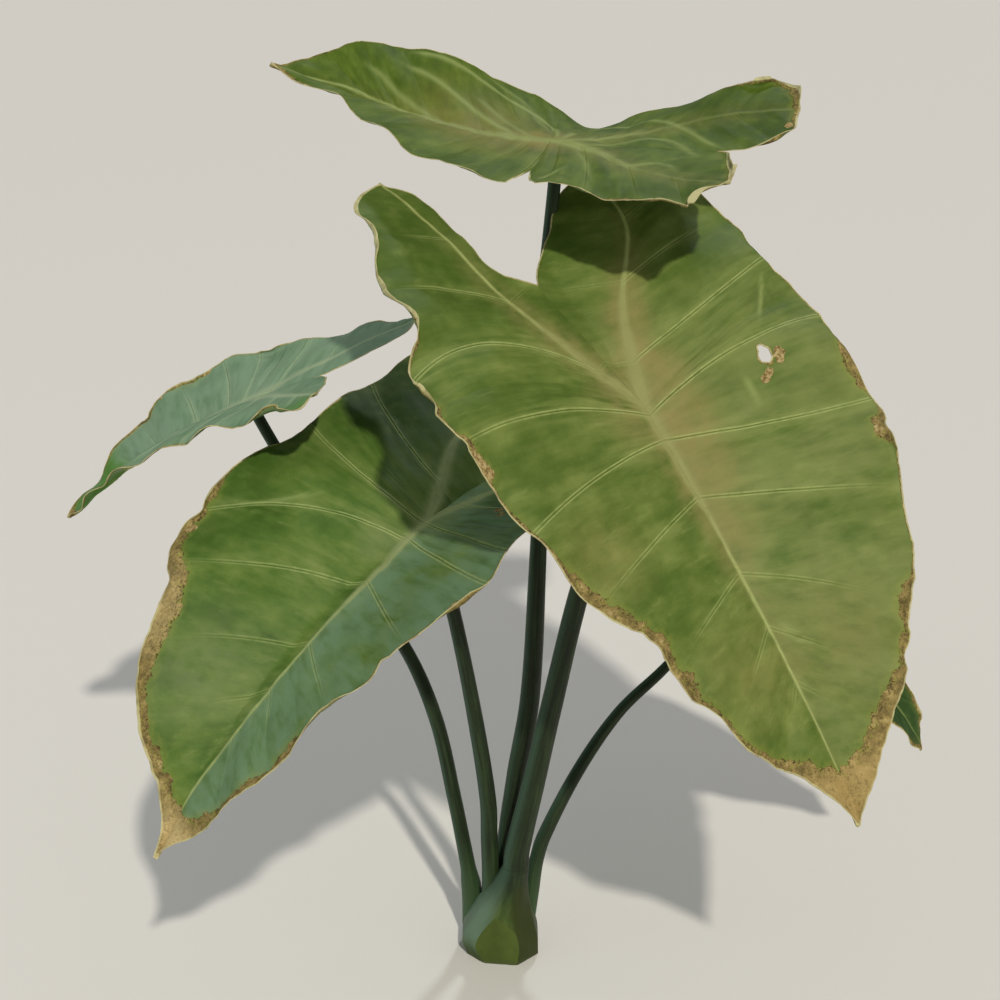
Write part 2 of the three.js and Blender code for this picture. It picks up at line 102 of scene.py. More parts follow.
# How far across the blade each vein stays plain to see, and how strong it is
VEIN_REACH = [0.3, 0.45, 0.7, 0.85, 1.0, 1.0, 1.0, 0.75, 0.5]
VEIN_STRENGTH = [0.25, 0.35, 0.5, 0.75, 1.0, 1.0, 0.95, 0.6, 0.45]

# Shares at which the fold has its tip or lobe value, and where the droops of
# the two lobes run into each other
FOLD_AT_TIP = 0.6
FOLD_AT_LOBE = 0.83
BACK_BLEND = 0.24

# What a blade has where its drawing says nothing
PLAIN = dict(
    size=1, roll=0, twist=0, ends=[VEIN_END, VEIN_END], hole=None, finer=None,
    parched=[], cream=[], tints=[], marks=[], vein_weights=[1, 1], pale_rim=0.9,
    row_step=3.2, columns=32,
)


def drawn(**facts):
    return {**PLAIN, **facts}


# Each blade is drawn flat, in mm: u runs from the petiole junction to the tip,
# v to the left of the midrib seen from above. Pairs are left, then right.
# spine, ribs, margins, edges and lobes are the outline and ribs of the part.
# ends: share of each margin at which the side veins reach it, from the tip on.
# bows: how far each side vein curves back toward the junction, as a share.
# dry: width of the dried border at some u, from the tip back to the lobe end.
# parched: more of it round u, v within a radius. cream: the same for the pale rim.
# tints and dusk: places of another tint, and darker ones that are painted shade where a blade curls
# away from the light or lies under another, as u, v, radius, amount.
# marks: extra pale lines, as half width, strength and their points.
# spots: brown places, as u, v and radius. notches: u, v, depth and half width.
# curls: rolled stretches of margin, as u, v, radius and degrees.
# finer: closer rows in one interval of veins, and closer columns, round the hole.
BLADES = {
    "front_right": drawn(
        at=[94.2, -52, 459], size=0.991, yaw=-50, pitch=42, roll=4, twist=10.6, arch=11, back=[30, 30],
        fold=[[25, 25, 25], [7, 7, 7]], cup=[-11.8, -3.5], wave=[4.0, 7, 0.4], tip=[304, -4],
        spine=[[264, -1], [170, 0], [90, 0]], sinus=[-108, -22],
        margins=[[
            [284, 16], [254, 46], [214, 79], [186, 98], [150, 117], [106, 136], [67, 147], [23, 150],
            [-30, 149], [-64, 139], [-95, 143], [-128, 137], [-160, 120],
        ], [
            [292, -10], [264, -27], [234, -57], [194, -75], [156, -86], [119, -110], [83, -125],
            [50, -139], [17, -145], [-25, -158], [-55, -163], [-80, -149], [-106, -142], [-122, -148],
            [-158, -132], [-196, -118], [-214, -102],
        ]],
        lobes=[[-187, 82], [-223, -78]],
        edges=[[[-177, 50], [-150, 20], [-125, -8]], [[-204, -58], [-170, -51], [-125, -46]]],
        ribs=[[[-30, 10], [-72, 28], [-128, 70]], [[-50, -29], [-104, -57], [-165, -66]]],
        hole=[[-4, 93], [0, 97], [4, 97], [8, 96], [11, 91], [8, 87], [2, 89]],
        finer={"interval": 5, "rows": [0.5, 0.97, 18], "columns": [0.52, 0.86, 26]},
        ends=[
            [0.11, 0.18, 0.262, 0.402, 0.516, 0.636, 0.732, 0.815, 0.885],
            [0.1, 0.17, 0.26, 0.364, 0.466, 0.584, 0.662, 0.79, 0.87],
        ],
        bows=[
            [0, 0, 0.03, 0, -0.03, 0.06, 0, 0.02, 0.02],
            [0, 0, 0.02, 0.02, 0.04, 0.08, 0.18, 0.08, 0.03],
        ],
        crinkle=1.0,
        dry=[[
            [304, 40], [290, 30], [280, 20], [268, 14], [250, 12], [235, 9], [222, 3], [214, 7],
            [206, 3], [198, 8], [190, 11], [184, 5], [172, 1.5], [98, 1.5], [91, 9], [78, 9], [70, 1.5],
            [56, 1.5], [46, 7], [32, 9], [20, 7], [8, 1.5], [-190, 1],
        ], [
            [304, 40], [290, 30], [280, 22], [268, 14], [258, 10], [248, 5], [222, 4], [208, 5],
            [196, 6], [180, 9], [165, 6], [150, 10], [138, 6], [125, 8], [112, 8], [100, 6], [84, 3],
            [66, 2], [50, 3], [36, 2], [24, 1.5], [16, 6], [0, 6], [-10, 4], [-16, 1.5], [-44, 5],
            [-56, 3], [-62, 1.2], [-90, 3], [-104, 3], [-118, 1.5], [-225, 1.2],
        ]],
        cream=[
            [-200, -112, 40, 2.2], [-160, -132, 40, 2.6], [-125, -148, 30, 2.4], [-100, -142, 20, 1.6],
            [-48, -162, 20, 1.6],
        ],
        spots=[
            [7, 102, 7], [12, 99, 6], [17, 88, 6], [20, 83, 6], [83, 133, 7], [5, -146, 12],
            [14, -141, 7],
        ],
        notches=[
            [84, 141, 5, 7], [-84, -150, 7, 7], [-37, -161, 4, 7], [222, 72, 4, 8], [140, -94, 3, 7],
            [-8, -151, 3, 6],
        ],
        curls=[
            [-165, -133, 34, 150], [-128, -148, 28, 170], [-96, -144, 18, 160], [-48, -163, 20, 150],
            [120, -110, 40, -60], [200, -74, 46, 50], [20, 150, 34, -70], [95, 139, 20, 80],
            [-70, 139, 30, -60],
        ],
        bloom=[0.6, 0.05], bloom_from=[-120, 20],
        tints=[
            [22, 20, 34, 0.85], [60, 18, 34, 0.7], [100, 12, 30, 0.5], [-14, 26, 26, 0.6],
            [-34, 16, 26, 0.7], [-64, 28, 24, 0.6], [-92, 46, 20, 0.4], [90, -90, 46, 0.4],
            [190, -30, 60, 0.35], [190, 40, 60, 0.3],
        ],
        dusk=[
            [-120, -110, 75, 0.6], [-180, -90, 60, 0.6], [-90, 100, 60, 0.5], [-30, 128, 34, 0.45],
            [-75, -20, 30, 0.35], [40, 118, 24, 0.3], [10, -105, 26, 0.25], [120, 85, 24, 0.25],
            [-30, -120, 26, 0.3],
        ],
        marks=[
            [1.5, 0.55, [[-52, 130], [-35, 118], [-20, 105]]],
            [1.5, 0.5, [[8, 72], [22, 70], [36, 70]]], [1.6, 0.4, [[176, 8], [184, 14], [190, 22]]],
            [1.6, 0.4, [[166, 6], [176, 13], [182, 22]]],
        ],
    ),
    "front_left": drawn(
        at=[-48, -10, 362], size=1.015, yaw=-136.2, pitch=15, roll=-10.8, twist=-12, arch=50,
        back=[11, -4], fold=[[25, 25, 25], [24, 24, 24]], cup=[7, -24.3], wave=[3.5, 6, 1.2],
        tip=[299, -2], spine=[[238, 4], [156, 13], [60, 12]], sinus=[-62, 3],
        margins=[[
            [277, 16], [252, 34], [220, 56], [187, 72], [157, 87], [122, 100], [96, 118], [63, 134],
            [30, 133], [0, 129], [-35, 119], [-65, 106], [-92, 94],
        ], [
            [277, -8], [250, -30], [241, -42], [218, -62], [187, -85], [160, -94], [139, -112],
            [106, -125], [67, -129], [18, -126], [-23, -130], [-72, -141], [-114, -141], [-145, -128],
            [-166, -104],
        ]],
        lobes=[[-112, 78], [-172, -72]],
        edges=[[[-106, 62], [-92, 46], [-74, 28]], [[-162, -40], [-128, -18], [-94, -6]]],
        ribs=[[[-18, 14], [-50, 38], [-85, 64]], [[-21, -14], [-58, -37], [-125, -58]]],
        ends=[
            [0.14, 0.246, 0.362, 0.494, 0.615, 0.66, 0.75, 0.825, 0.89],
            [0.1, 0.17, 0.26, 0.352, 0.43, 0.615, 0.75, 0.83, 0.9],
        ],
        bows=[
            [0, -0.06, -0.02, -0.02, -0.02, 0, 0.02, 0.02, 0.02],
            [0, 0, 0.02, 0.02, 0.07, -0.06, -0.07, -0.02, 0],
        ],
        crinkle=1.0,
        dry=[[
            [299, 40], [285, 26], [272, 14], [262, 9], [250, 6], [235, 5], [215, 5], [205, 2], [198, 6],
            [182, 6], [176, 2], [150, 1.5], [130, 1.5], [80, 1.5], [75, 7], [62, 7], [55, 1.5],
            [-110, 1.2],
        ], [
            [299, 40], [285, 28], [272, 16], [262, 10], [248, 9], [235, 7], [222, 7], [210, 9],
            [195, 13], [180, 15], [165, 16], [150, 14], [138, 11], [126, 9], [116, 7], [104, 5],
            [92, 5], [84, 6], [76, 2], [60, 1.5], [-170, 1.2],
        ]],
        cream=[[160, -94, 60, 0.8], [240, -45, 50, 0.8]],
        spots=[[-12, 66, 9], [-5, 74, 7], [70, 121, 8], [114, -116, 7]],
        notches=[[80, 132, 4, 6], [104, -126, 4, 8], [150, -103, 3, 8], [118, 102, 3, 6]],
        curls=[
            [70, 133, 26, 90], [160, 88, 46, 60], [140, -108, 44, -60], [210, -68, 36, 70],
            [100, -127, 30, 110],
        ],
        bloom=[1.0, 0.05], bloom_from=[-400, -300],
        tints=[[40, -8, 26, 0.4], [5, 10, 26, 0.5], [185, -40, 70, 0.5]],
        dusk=[
            [-60, -90, 90, 0.8], [-130, -80, 60, 0.6], [60, -112, 40, 0.6], [110, -96, 30, 0.5],
            [150, -60, 26, 0.2], [-40, 60, 50, 0.4], [90, 95, 24, 0.25],
        ],
        marks=[[1.5, 0.5, [[40, -62], [60, -78], [78, -98], [84, -112]]]],
    ),
    "top": drawn(
        at=[39.8, 75, 608.4], size=1.018, yaw=162.3, pitch=-2.2, arch=-18.6, back=[-12, -5],
        fold=[[-15, -10, -2], [25, -2, 39]], cup=[7.3, -3.4], wave=[3.0, 6, 2.2], tip=[212, 6],
        spine=[[160, -4], [118, 0], [50, 6]], sinus=[-110, 1],
        margins=[[
            [190, 11], [174, 13], [150, 22], [125, 44], [84, 76], [60, 86], [26, 94], [6, 82],
            [-14, 90], [-34, 87], [-66, 90], [-88, 99], [-100, 94], [-111, 98], [-117, 78],
        ], [
            [202, -8], [187, -25], [165, -45], [138, -55], [93, -62], [59, -76], [17, -89], [-30, -92],
            [-75, -88], [-116, -80], [-131, -90], [-143, -87], [-152, -78],
        ]],
        lobes=[[-129, 58], [-156, -52]],
        edges=[[[-130, 38], [-124, 17], [-116, 4]], [[-156, -26], [-146, -9], [-126, -2]]],
        ribs=[[[-30, 14], [-62, 36], [-98, 50]], [[-30, -18], [-65, -36], [-110, -46]]],
        ends=[VEIN_END, [0.1, 0.16, 0.23, 0.32, 0.4, 0.48, 0.66, 0.78, 0.87]],
        bows=[
            [0, 0, 0.02, 0.02, 0.03, 0.05, 0.03, 0.02, 0.02],
            [0, 0, 0.03, 0.05, 0.06, 0.06, 0.03, 0.02, 0.02],
        ],
        crinkle=0.45,
        dry=[[
            [212, 3], [200, 2], [180, 0.8], [150, 0.4], [-40, 0.4], [-60, 2], [-86, 3], [-95, 5],
            [-112, 6], [-122, 5], [-130, 6],
        ], [
            [212, 3], [200, 1.5], [170, 0.5], [-80, 0.4], [-100, 1.2], [-125, 2], [-140, 4], [-156, 4],
        ]],
        parched=[[-126, 34, 34, 5], [-148, -76, 18, 5], [-156, -44, 16, 3], [-146, -6, 16, 7]],
        cream=[
            [-127, 32, 36, 6], [-116, 86, 22, 3], [-92, 98, 14, 1], [-148, -80, 22, 3],
            [-156, -44, 24, 1.4], [-6, 78, 14, 1],
        ],
        spots=[[-152, -34, 6], [-149, -22, 5]],
        notches=[[2, 83, 30, 8], [-12, 90, -7, 8], [-96, 98, 6, 6], [-150, -30, 4, 6]],
        curls=[
            [-92, 98, 16, 60], [-116, 86, 24, 165], [-40, 90, 20, 60], [-124, 30, 36, 120],
            [-146, -80, 22, 60], [-150, -14, 26, 110], [28, 98, 22, 60], [-125, -86, 22, 120],
        ],
        bloom=[0.08, 0.0], bloom_from=[70, -20],
        tints=[
            [10, 0, 30, 0.95], [45, 22, 44, 0.4], [80, 12, 34, 0.3], [50, -20, 44, 0.4],
            [90, -20, 40, 0.25],
        ],
        dusk=[
            [-105, 62, 60, 0.5], [-118, -40, 60, 0.7], [-150, -30, 40, 0.5], [120, -30, 24, 0.3],
            [70, -38, 20, 0.35], [30, 84, 30, 0.3], [110, 40, 26, 0.3], [-70, 70, 24, 0.3],
        ],
        marks=[
            [1.9, 1.0, [[2, -6], [13, -35], [39, -54], [62, -55], [103, -55], [129, -53]]],
            [2.4, 0.8, [[30, 1], [48, -9], [74, -24], [103, -35], [129, -39]]],
            [2.4, 0.7, [[85, 1], [104, -5], [124, -14], [141, -24], [153, -27]]],
            [1.8, 0.5, [[8, -18], [25, -40], [43, -62], [55, -66], [75, -66]]],
            [2.2, 0.5, [[14, 1], [30, -10], [52, -24], [74, -36]]],
            [2.0, 0.8, [
                [0, -3], [-4, -30], [-20, -52], [-40, -58], [-62, -48], [-80, -32],
                [-98, -14], [-112, -4],
            ]],
            [1.9, 0.7, [[-20, 2], [-43, -4], [-61, -15], [-75, -12], [-89, 0], [-100, 12]]],
            [1.9, 0.7, [[-46, 34], [-60, 31], [-70, 26], [-80, 26], [-90, 38]]],
            [1.5, 0.8, [[-10, 88], [-13, 76], [-16, 62], [-20, 50]]],
            [1.8, 0.5, [[-16, 14], [-28, 34], [-40, 62]]],
        ],
        vein_weights=[0.4, 0.15], row_step=2.3, columns=44, pale_rim=0.45,
    ),
    "back_left": drawn(
        at=[-182, 70, 421], size=1.008, yaw=168.4, pitch=22.3, arch=26.9, back=[0, 0],
        fold=[[3, 5.5, 5], [7, 13, 26]], cup=[-8, -1.7], wave=[2.5, 6, 0.9], tip=[183, -4],
        spine=[[140, 8], [100, 12], [45, 8]], sinus=[-55, 2],
        margins=[[
            [166, 10], [140, 27], [108, 42], [70, 56], [34, 62], [10, 74], [-10, 76], [-39, 82],
            [-62, 83],
        ], [
            [166, -18], [147, -17], [125, -33], [96, -49], [75, -58], [42, -76], [0, -78], [-40, -72],
            [-71, -75], [-107, -66],
        ]],
        lobes=[[-77, 62], [-126, -48]],
        edges=[[[-76, 42], [-72, 24], [-64, 8]], [[-118, -22], [-96, -8], [-72, -2]]],
        ribs=[[[-14, 10], [-34, 28], [-56, 46]], [[-30, -11], [-60, -27], [-92, -39]]],
        bows=[
            [0, 0, 0.02, 0.02, 0.02, 0.03, 0.02, 0.02, 0.02],
            [0, 0, 0.02, 0.02, 0.02, 0.03, 0.02, 0.02, 0.02],
        ],
        crinkle=0.8,
        dry=[[
            [183, 8], [176, 3], [165, 1.2], [60, 1.2], [-50, 1.5], [-80, 1.5],
        ], [
            [183, 8], [176, 3], [150, 1.5], [125, 3], [100, 3.5], [80, 1.5], [72, 3], [55, 3],
            [48, 1.5], [-10, 1.2], [-125, 1.2],
        ]],
        spots=[[50, -71, 6], [84, -54, 6], [110, -42, 6]],
        notches=[[62, -64, 4, 6], [100, -48, 3, 5], [-48, 82, 4, 6]],
        curls=[[0, -78, 22, 120], [60, -66, 24, 90], [-50, 83, 22, 130], [40, 62, 26, -60]],
        bloom=[0.6, 1.0], bloom_from=[175, 130],
        # the bright green tint at the tip is a painted glow of light shining through the blade
        tints=[[165, -4, 60, 3.0], [128, 24, 40, 2.0], [96, 40, 22, 0.8], [-64, 70, 26, 0.7]],
        dusk=[[60, -50, 26, 0.25], [100, 20, 30, 0.2], [-90, -30, 40, 0.25], [30, -60, 16, 0.4]],
    ),
    "back_right": drawn(
        at=[176, 80, 264], yaw=-25, pitch=9.6, roll=18, arch=59.7, back=[10, 10],
        fold=[[10, 12, 14], [10, 12, 14]], cup=[-9, -9], wave=[2.0, 6, 2.9], tip=[200, 0],
        spine=[[160, 1], [110, 2], [50, 2]], sinus=[-42, 0],
        margins=[[
            [194, 3], [188, 9], [179, 17], [166, 19], [150, 22], [120, 38], [80, 54], [34, 64],
            [-10, 65], [-42, 61], [-70, 52],
        ], [
            [195, -4], [188, -10], [176, -14], [163, -18], [140, -29], [115, -42], [80, -54], [34, -64],
            [-10, -67], [-42, -62], [-69, -53],
        ]],
        lobes=[[-88, 34], [-86, -36]],
        edges=[[[-82, 18], [-68, 7], [-54, 2]], [[-80, -18], [-67, -7], [-54, -2]]],
        ribs=[[[-22, 9], [-44, 20], [-66, 29]], [[-22, -9], [-44, -20], [-66, -29]]],
        bows=[
            [0, 0, 0.02, 0.02, 0.03, 0.04, 0.03, 0.02, 0.02],
            [0, 0, 0.02, 0.02, 0.03, 0.04, 0.03, 0.02, 0.02],
        ],
        crinkle=0.7,
        dry=[[[200, 3], [170, 3], [100, 2], [-88, 1.5]], [[200, 3], [170, 2], [100, 2], [-88, 1.5]]],
        spots=[[60, 52, 6], [-30, -58, 7]],
        notches=[[184, 12, 2, 4], [100, -48, 3, 5]],
        curls=[[60, 58, 22, 60], [-40, -62, 24, -60]],
        bloom=[0.1, 0.1], bloom_from=[-400, -300],
        dusk=[[150, 0, 60, 0.4]],
    ),
}

# Petiole centre lines from the base up, and radius by share of the length
PETIOLES = {
    "front_right": {
        "path": [[12, -12, 80.3], [13, -12, 94], [25, -15, 155], [38, -18, 223], [54, -25, 306],
                 [68, -32, 364]],
        "radii": [[0, 9.8], [0.08, 9.0], [0.2, 8.3], [0.4, 7.7], [0.75, 6.6], [1, 6.0]],
    },
    "front_left": {
        "path": [[-8, 0, 16], [-7, 0, 60], [-8, -1, 95], [-9, -2, 131], [-18, -4, 200],
                 [-30, -7, 272]],
        "radii": [[0, 7.0], [0.2, 6.6], [0.4, 6.2], [0.7, 5.4], [1, 5.0]],
    },
    "top": {
        "path": [[4, 11, 16], [4, 11, 72], [12, 14, 140], [22, 18, 205], [27, 27, 304],
                 [30, 41, 404], [30.5, 58, 500]],
        "radii": [[0, 7.6], [0.33, 7.4], [0.67, 5.3], [1, 4.5]],
    },
    "back_left": {
        "path": [[-21, 12, 16], [-21.5, 12, 40], [-24, 12.5, 60], [-28.3, 14, 86],
                 [-34.2, 17, 119], [-48, 26, 184], [-70, 36, 237], [-125, 54, 318]],
        "radii": [[0, 8.2], [0.07, 7.8], [0.11, 6.0], [0.35, 5.5], [0.7, 4.6], [1, 4.2]],
    },
    "back_right": {
        "path": [[21, 7, 16], [24.5, 8.5, 44], [27.6, 11, 68], [34, 14.5, 90],
                 [61, 30, 140], [91, 45, 180], [124, 59, 208]],
        "radii": [[0, 5.7], [0.15, 5.6], [0.35, 5.1], [0.6, 4.4], [1, 3.2]],
    },
}

# Swollen base: height, centre x, centre y, half width x, half width y, turn
BASE_RINGS = [
    [0, 2, 0, 29.5, 28, 0],
    [16, 0, -1, 31, 29.5, 0],
    [43, 3, -3, 21, 21, 7],
    [63, 7.8, -8, 14, 13.5, 25],
    [80, 12, -12, 10.2, 10.2, 40],
]
BASE_SIDES = 8
BASE_STEPS = 46
BASE_SMOOTH_SIDES = 64
CORNER_ROUNDING = 0.06
BASE_SMOOTH_ANGLE = 28
SMOOTH_ANGLE = 50
# A flat cut at the front, where an old petiole came away: a point on it and its way out
CUT_POINT = [0, -24.5, 0]
CUT_WAY = [-0.12, -1, 0.02]


def mix(a, b, t):
    return a + (b - a) * t


def ease(t):
    c = np.clip(t, 0, 1)
    return c * c * (3 - 2 * c)


def unit(v):
    return v / np.linalg.norm(v)


def curve(points):
    """A smooth run of points, read at an array of shares of its chord length."""
    points = np.array(points, float)
    at = np.r_[0, np.cumsum(np.linalg.norm(np.diff(points, axis=0), axis=1))]
    before = np.maximum(np.arange(len(points)) - 1, 0)
    after = np.minimum(np.arange(len(points)) + 1, len(points) - 1)
    slope = (points[after] - points[before]) / (at[after] - at[before])[:, None]

    def read(share):
        s = np.atleast_1d(share) * at[-1]
        i = np.clip(np.searchsorted(at, s, side="left") - 1, 0, len(points) - 2)
        h = (at[i + 1] - at[i])[:, None]
        t = (s - at[i])[:, None] / h
        return (
            points[i] * (2 * t**3 - 3 * t**2 + 1)
            + slope[i] * h * (t**3 - 2 * t**2 + t)
            + points[i + 1] * (3 * t**2 - 2 * t**3)
            + slope[i + 1] * h * (t**3 - t**2)
        )

    return read


def turned(axis, degrees):
    """Rotation matrix about x (0), y (1) or z (2)."""
    c, s = math.cos(math.radians(degrees)), math.sin(math.radians(degrees))
    i, j = (axis + 1) % 3, (axis + 2) % 3
    matrix = np.eye(3)
    matrix[i, i] = matrix[j, j] = c
    matrix[i, j] = -s
    matrix[j, i] = s
    return matrix


def bend(leaf, flat):
    """Takes points of the flat drawing to their places in space, in mm."""
    flat = np.atleast_2d(np.array(flat, float))
    u, v = flat[:, 0], flat[:, 1]
    side = np.where(v >= 0, 0, 1)
    reach = leaf["tip"][0]
    lobe = np.abs(np.array(leaf["lobes"], float)[side, 0])
    at_lobe, at_junction, at_tip = np.radians(np.array(leaf["fold"], float))[side].T
    toward_tip = mix(at_junction, at_tip, ease(u / (FOLD_AT_TIP * reach)))
    toward_lobe = mix(at_junction, at_lobe, ease(-u / (FOLD_AT_LOBE * lobe)))
    fold = np.where(u > 0, toward_tip, toward_lobe)
    k = np.radians(np.array(leaf["cup"], float))[side] / 100
    width = np.abs(v)
    y = (np.sin(fold + k * width) - np.sin(fold)) / k * np.where(v < 0, -1, 1)
    z = (np.cos(fold) - np.cos(fold + k * width)) / k
    twist = math.radians(leaf["twist"]) * u / reach
    y, z = y * np.cos(twist) - z * np.sin(twist), y * np.sin(twist) + z * np.cos(twist)
    back = mix(leaf["back"][1], leaf["back"][0], ease(v / (BACK_BLEND * reach) + 0.5))
    bow = np.radians(np.where(u < 0, back, leaf["arch"])) / reach
    bow = np.where(np.abs(bow) < 1e-6, 1e-6, bow)
    turn = bow * np.abs(u)
    x = np.where(u < 0, -1, 1) * (np.sin(turn) / bow + z * np.sin(turn))
    z = -(1 - np.cos(turn)) / bow + z * np.cos(turn)
    pose = turned(2, leaf["yaw"]) @ turned(1, leaf["pitch"]) @ turned(0, leaf["roll"])
    return np.stack([x, y, z], 1) @ pose.T * leaf["size"] + np.array(leaf["at"], float)


LATTICE = 64


def bumps(points, cell, seed):
    """Smooth noise from -1 to 1 over flat points; cell is the size of a bump."""
    lattice = np.random.default_rng(seed).uniform(-1, 1, (LATTICE, LATTICE))
    at = points / cell
    low = np.floor(at).astype(int)
    t = ease(at - low)
    x, y = low[:, 0] % LATTICE, low[:, 1] % LATTICE
    x1, y1 = (x + 1) % LATTICE, (y + 1) % LATTICE
    near = mix(lattice[x, y], lattice[x1, y], t[:, 0])
    far = mix(lattice[x, y1], lattice[x1, y1], t[:, 0])
    return mix(near, far, t[:, 1])


def near_line(points, lines):
    """Distance from each flat point to the nearest of some lines, and where that is."""
    best = np.full(len(points), np.inf)
    place = points.copy()
    for line in lines:
        for a, b in zip(line[:-1], line[1:]):
            along = b - a
            square = along @ along
            if square < 1e-12:
                continue
            share = np.clip((points - a) @ along / square, 0, 1)
            spot = a + share[:, None] * along
            distance = np.hypot(*(points - spot).T)
            nearer = distance < best
            best[nearer] = distance[nearer]
            place[nearer] = spot[nearer]
    return best, place


def disc(points, u, v, radius):
    """1 at the middle of a round place on the drawing, 0 from its edge on."""
    return ease(1 - np.hypot(points[:, 0] - u, points[:, 1] - v) / radius)


def places_on(flat, places):
    """Sum of some round places of the drawing, each with its own amount."""
    total = np.zeros(len(flat))
    for u, v, radius, amount in places:
        total += amount * disc(flat, u, v, radius)
    return total


VEINS_IN_FRONT = 6
JUNCTION_STATION = VEINS_IN_FRONT + 1


def at_stations(veins, tip, junction, lobe):
    """A value for each station: the tip, each side vein, the junction and the lobe end."""
    return [tip, *veins[:VEINS_IN_FRONT], junction, *veins[VEINS_IN_FRONT:], lobe]


def from_margin(veins, lobe):
    """The same for a list without a value at the junction: it lies between its neighbours."""
    return at_stations(veins, 0, (veins[VEINS_IN_FRONT - 1] + veins[VEINS_IN_FRONT]) / 2, lobe)


STATION_SPINE = at_stations(VEIN_START, 0, JUNCTION, 1)
STATION_END = at_stations(VEIN_END, 0, JUNCTION_END, 1)
STATION_STRENGTH = at_stations(VEIN_STRENGTH, 0, 0, 0)
STATION_REACH = at_stations(VEIN_REACH, 1, 1, 1)
CORNER_SPINE = VEIN_START[CORNER_VEIN] - VEIN_EDGE

# Rows and columns of a blade's mesh, in mm: close together beside a vein, over
# the rib (as shares of its half width) and at the rim, and even between them
BESIDE_VEIN = np.array([0, 0.5, 1.0, 1.6, 2.4, 3.6, 5.2])
OVER_RIB = np.array([0, 0.14, 0.3, 0.5, 0.75, 1.0])
BESIDE_RIM = np.array([0, 0.6, 1.2, 1.9, 2.7, 3.7, 5.0, 6.8, 9.2])
STRIP_COLUMNS = 12
SHORT_ROW = 60
BLADE_RIB_SHARE = 0.13
STRIP_RIB_SHARE = 0.3

# How far apart the grain has its veins and the two sides of the blade, in mm
GRAIN_BETWEEN_VEINS = 45
GRAIN_BETWEEN_SIDES = 700

# How far the edges' unevenness takes to reach its full size, in mm
FRAY_FADE = 30
TIP_FADE = 30


def spread(count):
    return np.linspace(0, 1, count + 2)[1:-1]


def closer(shares, low, high, many):
    """Shares of a row or column, with a stretch of closer ones."""
    return np.sort(np.r_[shares[(shares < low) | (shares > high)], np.linspace(low, high, many)])


def blade_rows(leaf):
    """What each row knows, from tip to lobe end: its station and share of the way to the
    next one, its place along the spine, and the depth and half width of the rib there."""
    spine_length = math.hypot(*leaf["tip"]) / JUNCTION
    stations, shares = [], []
    for k, (low, high) in enumerate(zip(STATION_SPINE[:-1], STATION_SPINE[1:])):
        length = (high - low + STATION_END[k + 1] - STATION_END[k]) / 2 * spine_length
        beside = BESIDE_VEIN / length * min(1, 0.4 * length / BESIDE_VEIN[-1])
        count = max(2, round((1 - 2 * beside[-1]) * length / leaf["row_step"]))
        t = np.r_[beside, mix(beside[-1], 1 - beside[-1], spread(count)), 1 - beside[:0:-1]]
        if leaf["finer"] and leaf["finer"]["interval"] == k:
            t = closer(t, *leaf["finer"]["rows"])
        if low < CORNER_SPINE < high:
            corner = (CORNER_SPINE - low) / (high - low)
            t = np.sort(np.r_[t[np.abs(t - corner) > 0.01], corner])
        stations.append(np.full(len(t), k))
        shares.append(t)
    station = np.r_[np.concatenate(stations), len(STATION_SPINE) - 2]
    share = np.r_[np.concatenate(shares), 1.0]
    spine = read_stations(STATION_SPINE, station, share)
    to_lobe = (spine - JUNCTION) / (1 - JUNCTION)
    midrib = mix(MIDRIB_TIP_DEPTH, MIDRIB_DEPTH, spine / JUNCTION)
    lobe_rib = mix(LOBE_RIB_DEPTH, LOBE_RIB_END_DEPTH, to_lobe)
    from_hub = np.abs(spine - JUNCTION) / JUNCTION
    return {
        "station": station,
        "share": share,
        "spine": spine,
        "depth": np.where(spine <= JUNCTION, midrib, lobe_rib),
        "half_width": mix(RIB_HALF_WIDTH, RIB_END_HALF_WIDTH, from_hub),
    }


def read_stations(values, station, share):
    values = np.array(values, float)
    return mix(values[station], values[station + 1], share)


def across_row(length, rib_width, rib_share, middle):
    """Shares across each row of a blade, from its rib (0) to its far border (1)."""
    length = np.maximum(length, 1e-6)[:, None]
    rib = OVER_RIB * np.minimum(rib_width[:, None], rib_share * length)
    rim = BESIDE_RIM * np.minimum(1, length / SHORT_ROW)
    rim_start = length - rim[:, -1:]
    between = rib[:, -1:] + (rim_start - rib[:, -1:]) * middle
    return np.hstack([rib, between, length - rim[:, ::-1]]) / length


def frayed(leaf, to, start, seed):
    """Moves the margin's points in and out a little, and cuts its notches."""
    inward = start - to
    length = np.hypot(*inward.T)
    inward = inward / np.maximum(length, 1e-6)[:, None]
    amount = 1.1 * bumps(to, 24, seed) + 0.9 * bumps(to, 10, seed + 1)
    amount += 0.55 * bumps(to, 4.2, seed + 2)
    for u, v, depth, half_width in leaf["notches"]:
        amount += depth * np.clip(1 - np.hypot(to[:, 0] - u, to[:, 1] - v) / half_width, 0, 1)
    return to + inward * (amount * ease(length / FRAY_FADE))[:, None]


